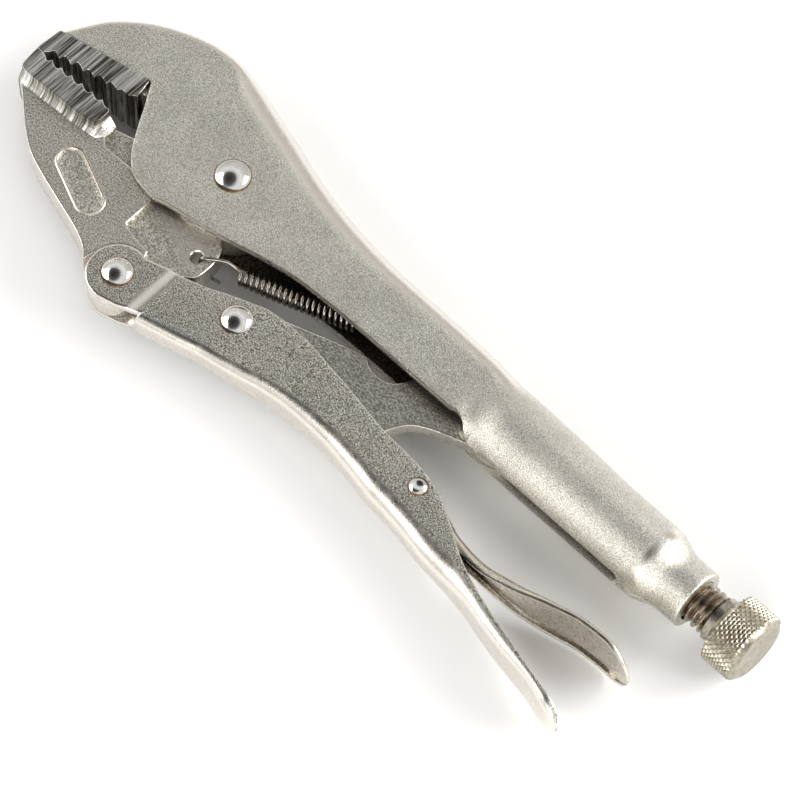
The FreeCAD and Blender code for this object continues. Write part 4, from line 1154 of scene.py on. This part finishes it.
def thread_tree():
    """A ridge with sloping flanks, wound along the screw axis."""
    tree, source, output = node_tree("screw_thread", [
        ("Pitch", "NodeSocketFloat", 0.002), ("Length", "NodeSocketFloat", 0.06),
        ("Root radius", "NodeSocketFloat", 0.0048), ("Depth", "NodeSocketFloat", 0.0011)])
    pitch, length, root, depth = (source.outputs[k] for k in ("Pitch", "Length", "Root radius", "Depth"))
    spiral = add_node(tree, "GeometryNodeCurveSpiral")
    spiral.inputs["Resolution"].default_value = 48
    feed(tree, spiral.inputs["Rotations"], calc(tree, "DIVIDE", length, pitch))
    feed(tree, spiral.inputs["Start Radius"], root)
    feed(tree, spiral.inputs["End Radius"], root)
    feed(tree, spiral.inputs["Height"], length)
    section = add_node(tree, "GeometryNodeCurvePrimitiveQuadrilateral", mode="TRAPEZOID")
    feed(tree, section.inputs["Bottom Width"], calc(tree, "MULTIPLY", pitch, 0.92))
    feed(tree, section.inputs["Top Width"], calc(tree, "MULTIPLY", pitch, 0.2))
    feed(tree, section.inputs["Height"], depth)
    section.inputs["Offset"].default_value = 0.0
    upright = add_node(tree, "GeometryNodeSetCurveNormal", mode="Z_UP")
    feed(tree, upright.inputs[0], spiral.outputs[0])
    # the section is turned so that its narrow side faces outwards
    turn = add_node(tree, "GeometryNodeTransform")
    turn.inputs["Rotation"].default_value = (0, 0, math.radians(90))
    feed(tree, turn.inputs[0], section.outputs[0])
    sweep = add_node(tree, "GeometryNodeCurveToMesh")
    sweep.inputs["Fill Caps"].default_value = True
    feed(tree, sweep.inputs["Curve"], upright.outputs[0])
    feed(tree, sweep.inputs["Profile Curve"], turn.outputs[0])
    lay = add_node(tree, "GeometryNodeTransform")
    lay.inputs["Rotation"].default_value = (0, math.radians(90), 0)
    lay.inputs["Translation"].default_value = tuple(HOME + np.array((THREAD_START, AXIS_Y, 0)) / 1000)
    feed(tree, lay.inputs[0], sweep.outputs[0])
    close_tree(tree, lay.outputs[0], output, thread_metal)
    return tree


def make_screw():
    """The threaded rod with its collar and the stub that the knob turns on."""
    core = turned("core", [(108.1, 0.0), (108.1, 3.4), (108.7, 4.2), (109.9, 4.75), (169.5, 4.75),
                           (169.75, 6.0), (169.95, 6.28), (171.9, 6.28), (172.1, 6.1), (172.12, STUB),
                           (180.0, STUB), (180.0, 0.0)], thread_metal)
    thread = run_tree("thread", thread_tree(), {"Pitch": 0.002, "Length": 0.0594,
                                                "Root radius": 0.0052, "Depth": 0.00125})
    set_polish(thread, [ease(axis_radius(v), 4.9, 5.75) for v in thread.data.vertices])
    set_polish(core, [0.0 if (v.co.x - HOME[0]) * 1000 < 169.6 else 0.9 for v in core.data.vertices])
    piece = join("adjusting_screw_thread", [core, thread])
    return settle(piece, "screw", "adjusting_screw")


# ------------------------------------------------------------------ knurled knob

def knurl_tree():
    """Rows of flat-topped pyramids round the knob, every other row half a step on."""
    tree, source, output = node_tree("diamond_knurl", [
        ("Columns", "NodeSocketInt", 40), ("Rows", "NodeSocketInt", 9),
        ("Radius", "NodeSocketFloat", 0.0094),
        ("Row pitch", "NodeSocketFloat", 0.0009), ("Start", "NodeSocketFloat", 0.0),
        ("Height", "NodeSocketFloat", 0.0005), ("Half width", "NodeSocketFloat", 0.0008)])
    columns, rows, radius, pitch, start, height, half_width = list(source.outputs)[1:8]
    points = add_node(tree, "GeometryNodePoints")
    feed(tree, points.inputs["Count"], calc(tree, "MULTIPLY", columns, rows))
    index = add_node(tree, "GeometryNodeInputIndex").outputs[0]
    row = calc(tree, "FLOOR", calc(tree, "DIVIDE", index, columns))
    column = calc(tree, "SUBTRACT", index, calc(tree, "MULTIPLY", row, columns))
    shift = calc(tree, "MULTIPLY", calc(tree, "MODULO", row, 2.0), 0.5)
    share = calc(tree, "DIVIDE", calc(tree, "ADD", column, shift), columns)
    angle = calc(tree, "MULTIPLY", share, 2 * math.pi)
    spot = add_node(tree, "ShaderNodeCombineXYZ")
    feed(tree, spot.inputs[0], calc(tree, "ADD", start, calc(tree, "MULTIPLY", row, pitch)))
    feed(tree, spot.inputs[1], calc(tree, "MULTIPLY", calc(tree, "COSINE", angle), radius))
    feed(tree, spot.inputs[2], calc(tree, "MULTIPLY", calc(tree, "SINE", angle), radius))
    move = add_node(tree, "GeometryNodeSetPosition")
    feed(tree, move.inputs["Geometry"], points.outputs[0])
    feed(tree, move.inputs["Position"], spot.outputs[0])
    # one diamond: a flat-topped pyramid on four corners that points along Z until it is turned
    diamond = add_node(tree, "GeometryNodeMeshCone")
    diamond.inputs["Vertices"].default_value = 4
    diamond.inputs["Radius Top"].default_value = 0.00016
    feed(tree, diamond.inputs["Radius Bottom"], half_width)
    feed(tree, diamond.inputs["Depth"], height)
    turn = add_node(tree, "ShaderNodeCombineXYZ")
    feed(tree, turn.inputs[0], calc(tree, "SUBTRACT", angle, math.pi / 2))
    place = add_node(tree, "GeometryNodeInstanceOnPoints")
    feed(tree, place.inputs["Points"], move.outputs[0])
    feed(tree, place.inputs["Instance"], diamond.outputs[0])
    feed(tree, place.inputs["Rotation"], turn.outputs[0])
    carry = add_node(tree, "GeometryNodeTransform")
    carry.inputs["Translation"].default_value = tuple(HOME + np.array((0, AXIS_Y, 0)) / 1000)
    feed(tree, carry.inputs[0], place.outputs[0])
    close_tree(tree, carry.outputs[0], output, knurl_metal)
    return tree


def make_knob():
    """The turned knob with its knurl."""
    outer = 9.45
    bore = STUB + 0.05
    core = turned("knob_core", [(180.2, 0.0), (180.2, bore), (172.2, bore), (172.2, 7.2), (172.35, 7.5),
                                (173.45, 9.2), (173.7, outer), (181.6, outer), (181.85, 9.3), (182.9, 8.45),
                                (183.05, 8.2), (183.07, 7.9), (183.02, 7.0), (183.02, 3.0), (183.02, 0.0)],
                  knurl_metal, 96, 0.75)
    knurl = run_tree("knurl", knurl_tree(), {
        "Columns": 38, "Rows": 10, "Radius": 0.00938, "Row pitch": 0.00084,
        "Start": 0.17385, "Height": 0.0005, "Half width": 0.00086})
    set_polish(knurl, [ease(axis_radius(v), 9.4, 9.8) for v in knurl.data.vertices])
    set_polish(core, [0.1 if 9.3 < axis_radius(v) < 9.6 else 0.8 for v in core.data.vertices])
    return settle(join("screw_knob_knurled", [core, knurl]), "knob", "screw_knob")


# ------------------------------------------------------------------ tension spring

TILT = math.radians(20.8)           # the spring's slope to the screw axis
WAY = np.array((math.cos(TILT), math.sin(TILT), 0.0))
SIDE = np.array((-math.sin(TILT), math.cos(TILT), 0.0))
UP = np.array((0, 0, 1.0))
HOLE = np.array((*SPRING_HOLE, 0.0))
HOOK_REACH = 4.05       # how far the front hook stands off the middle plane
COIL_START = HOLE + WAY * 12.0 + np.array((-0.4, 0.7, 0.0))
COIL_LENGTH, COIL_TURNS, TURN_POINTS = 33.0, 21, 20
WIRE = 0.95


def coil_path():
    """The close coils, a little narrower where they run into the front hook."""
    count = COIL_TURNS * TURN_POINTS
    path = []
    for t in (k / count for k in range(count + 1)):
        radius = 1.95 + 0.47 * ease(t, 0.0, 0.4)
        a = 2 * math.pi * COIL_TURNS * t + math.pi * 0.5
        path.append(COIL_START + WAY * COIL_LENGTH * t
                    + SIDE * radius * math.cos(a) + UP * radius * math.sin(a))
    return path


def make_spring():
    """One wire: a hook through the tang, the coils, and a hook over the tab."""
    hook_x, hook_y = HOLE[0] + 0.9, HOLE[1] + 0.35
    front = through([(hook_x + 5.6, hook_y + 1.1, -HOOK_REACH), (hook_x + 2.5, hook_y + 0.5, -HOOK_REACH),
                     (hook_x + 0.7, hook_y + 0.1, -3.6), (hook_x, hook_y, -2.2), (hook_x, hook_y, 0.0),
                     (hook_x, hook_y, 2.6), (hook_x + 0.5, hook_y + 0.2, 3.75),
                     (hook_x + 1.6, hook_y + 0.8, HOOK_REACH + 0.05),
                     tuple(COIL_START - WAY * 4.2 + SIDE * 0.6 + UP * 4.0),
                     tuple(COIL_START - WAY * 1.6 + SIDE * 0.5 + UP * 3.0)], 6)
    end = COIL_START + WAY * COIL_LENGTH
    tab_x, tab_y = 56.6, end[1] + 2.4
    rear = through([tuple(end + WAY * 1.2 + SIDE * 0.3 + UP * 2.6), (tab_x - 2.2, tab_y - 0.8, 3.35),
                    (tab_x + 0.4, tab_y - 0.2, 3.3), (tab_x + 1.5, tab_y, 2.6),
                    (tab_x + 1.6, tab_y, 0.5), (tab_x + 1.6, tab_y, -1.7)], 6)
    path = [np.array(q) for q in front[:-1]] + coil_path() + [np.array(q) for q in rear]
    points = [tuple(q / 1000.0 + HOME) for q in path]
    line = bpy.data.meshes.new("wire_path")
    line.from_pydata(points, [(k, k + 1) for k in range(len(points) - 1)], [])
    tree, source, output = node_tree("wound_wire", [("Wire radius", "NodeSocketFloat", 0.0004),
                                                    ("Sides", "NodeSocketInt", 10)])
    curve = add_node(tree, "GeometryNodeMeshToCurve")
    feed(tree, curve.inputs[0], source.outputs["Geometry"])
    circle = add_node(tree, "GeometryNodeCurvePrimitiveCircle")
    feed(tree, circle.inputs["Radius"], source.outputs["Wire radius"])
    feed(tree, circle.inputs["Resolution"], source.outputs["Sides"])
    sweep = add_node(tree, "GeometryNodeCurveToMesh")
    sweep.inputs["Fill Caps"].default_value = True
    feed(tree, sweep.inputs["Curve"], curve.outputs[0])
    feed(tree, sweep.inputs["Profile Curve"], circle.outputs[0])
    smooth = add_node(tree, "GeometryNodeSetShadeSmooth")
    feed(tree, smooth.inputs[0], sweep.outputs[0])
    close_tree(tree, smooth.outputs[0], output, spring_metal)
    piece = run_tree("tension_spring_coil", tree, {"Wire radius": WIRE / 2000, "Sides": 10}, line)
    set_polish(piece, [0.7] * len(piece.data.vertices))
    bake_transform(piece, "fixed_handle", "jaw",
             start=tuple(HOME + np.array((tab_x + 1.6, tab_y, 0)) / 1000),
             end=tuple(HOME + np.array((hook_x + 1.0, hook_y, 0)) / 1000))
    return settle(piece, None, "tension_spring")


# ------------------------------------------------------------------ build

make_handle_body()
make_fixed_jaw()
make_moving_jaw()
make_lever()
make_link()
make_release_lever()
make_screw()
make_knob()
make_spring()
#  name, centre, shank and head radius, grip, rise of the dome, body, node
make_rivet("main_rivet_heads", (0, 0), 3.3, 4.6, 2 * HANDLE_HALF, 1.85, "fixed_handle", "main_rivet")
make_rivet("jaw_rivet_heads", JAW_RIVET, 2.8, 4.05, 11.1, 1.65, "operating_lever", "jaw_rivet")
make_rivet("link_rivet_heads", LINK_RIVET, 2.8, 4.1, 9.3, 1.65, "operating_lever", "link_rivet")
make_rivet("release_pin_heads", RELEASE_PIN, 1.5, 2.35, 12.4, 0.88, "operating_lever", "release_pin",
           dimple=0.3)


# ------------------------------------------------------------------ floor, light and camera

FLOOR_HALF = 1.6
# the room is bright all round, with a darker patch of ceiling almost overhead
DARK_SIDE = (-0.25, -0.2, 0.95)
SKY = [(0.0, (0.56, 0.55, 0.53)), (0.42, (0.70, 0.69, 0.67)), (0.62, grey(0.92)),
       (0.78, grey(0.72)), (0.87, grey(0.10)), (1.0, grey(0.03))]
SKY_STRENGTH = 1.0
#  (name, place, size, power, colour)
SOFTBOXES = [
    ("left_softbox", (-1.1, -0.7, 0.7), (1.3, 0.8), 11.0, (1.0, 0.985, 0.96)),
    ("right_softbox", (1.0, 0.9, 0.65), (1.4, 0.8), 28.0, (1.0, 0.99, 0.97)),
    ("front_softbox", (0.7, -1.1, 0.6), (1.2, 0.6), 11.0, (1.0, 1.0, 1.0)),
]
LIGHT_AIM = (0, 0, 0.01)
AZIMUTH, ELEVATION = math.radians(44.6), math.radians(62.75)
CAMERA_DISTANCE = 1.35
CAMERA_AIM = Vector((0.0121, -0.00025, 0.0104))
LENS = 243
SENSOR = 36


def floor_material():
    """A plain pale sheet with very slight mottling."""
    material, tree, shader = new_material("pale_floor")
    mottling = noise(tree, object_place(tree), 3.0, 4.0, 0.5)
    colour = ramp(tree, mottling, [(0.3, (0.90, 0.90, 0.905)), (0.7, (0.93, 0.93, 0.935))])
    tree.links.new(colour, shader.inputs["Base Color"])
    shader.inputs["Roughness"].default_value = 0.7
    return material


def lay_floor(level):
    """A square floor under the tool."""
    corners = [(x, y, level) for x, y in ((-FLOOR_HALF, -FLOOR_HALF), (FLOOR_HALF, -FLOOR_HALF),
                                          (FLOOR_HALF, FLOOR_HALF), (-FLOOR_HALF, FLOOR_HALF))]
    mesh = bpy.data.meshes.new("floor")
    mesh.from_pydata(corners, [], [(0, 1, 2, 3)])
    mesh.materials.append(floor_material())
    in_scene("floor", mesh)


def point_at(item, direction):
    """Turns a light or the camera to look along a direction."""
    item.rotation_mode = "QUATERNION"
    item.rotation_quaternion = direction.to_track_quat("-Z", "Y")


def softbox(name, place, size, power, colour):
    """A soft lamp aimed at the tool."""
    data = bpy.data.lights.new(name, "AREA")
    data.shape = "RECTANGLE"
    data.size, data.size_y = size
    data.energy = power
    data.color = colour
    lamp = in_scene(name, data)
    lamp.location = place
    point_at(lamp, Vector(LIGHT_AIM) - Vector(place))


def light_room():
    """The sky of the room and its soft lamps."""
    world = bpy.data.worlds.new("studio")
    bpy.context.scene.world = world
    world.use_nodes = True
    sky = world.node_tree
    background = next(n for n in sky.nodes if n.type == "BACKGROUND")
    place = sky.nodes.new("ShaderNodeTexCoord")
    towards = sky.nodes.new("ShaderNodeVectorMath")
    towards.operation = "DOT_PRODUCT"
    towards.inputs[1].default_value = Vector(DARK_SIDE).normalized()
    sky.links.new(place.outputs["Generated"], towards.inputs[0])
    sky.links.new(ramp(sky, towards.outputs["Value"], SKY), background.inputs[0])
    background.inputs[1].default_value = SKY_STRENGTH
    for lamp in SOFTBOXES:
        softbox(*lamp)


def place_camera():
    """The camera, looking down on the tool from its knob's side."""
    back = Vector((math.sin(AZIMUTH) * math.cos(ELEVATION), -math.cos(AZIMUTH) * math.cos(ELEVATION),
                   math.sin(ELEVATION)))
    data = bpy.data.cameras.new("camera")
    data.lens = LENS
    data.sensor_width = SENSOR
    data.clip_start = 0.05
    data.clip_end = 10
    camera = in_scene("camera", data)
    camera.location = CAMERA_AIM + back * CAMERA_DISTANCE
    point_at(camera, -back)
    bpy.context.scene.camera = camera


bpy.context.scene.view_settings.view_transform = "Standard"
lay_floor(cad_box[0][2])
light_room()
place_camera()
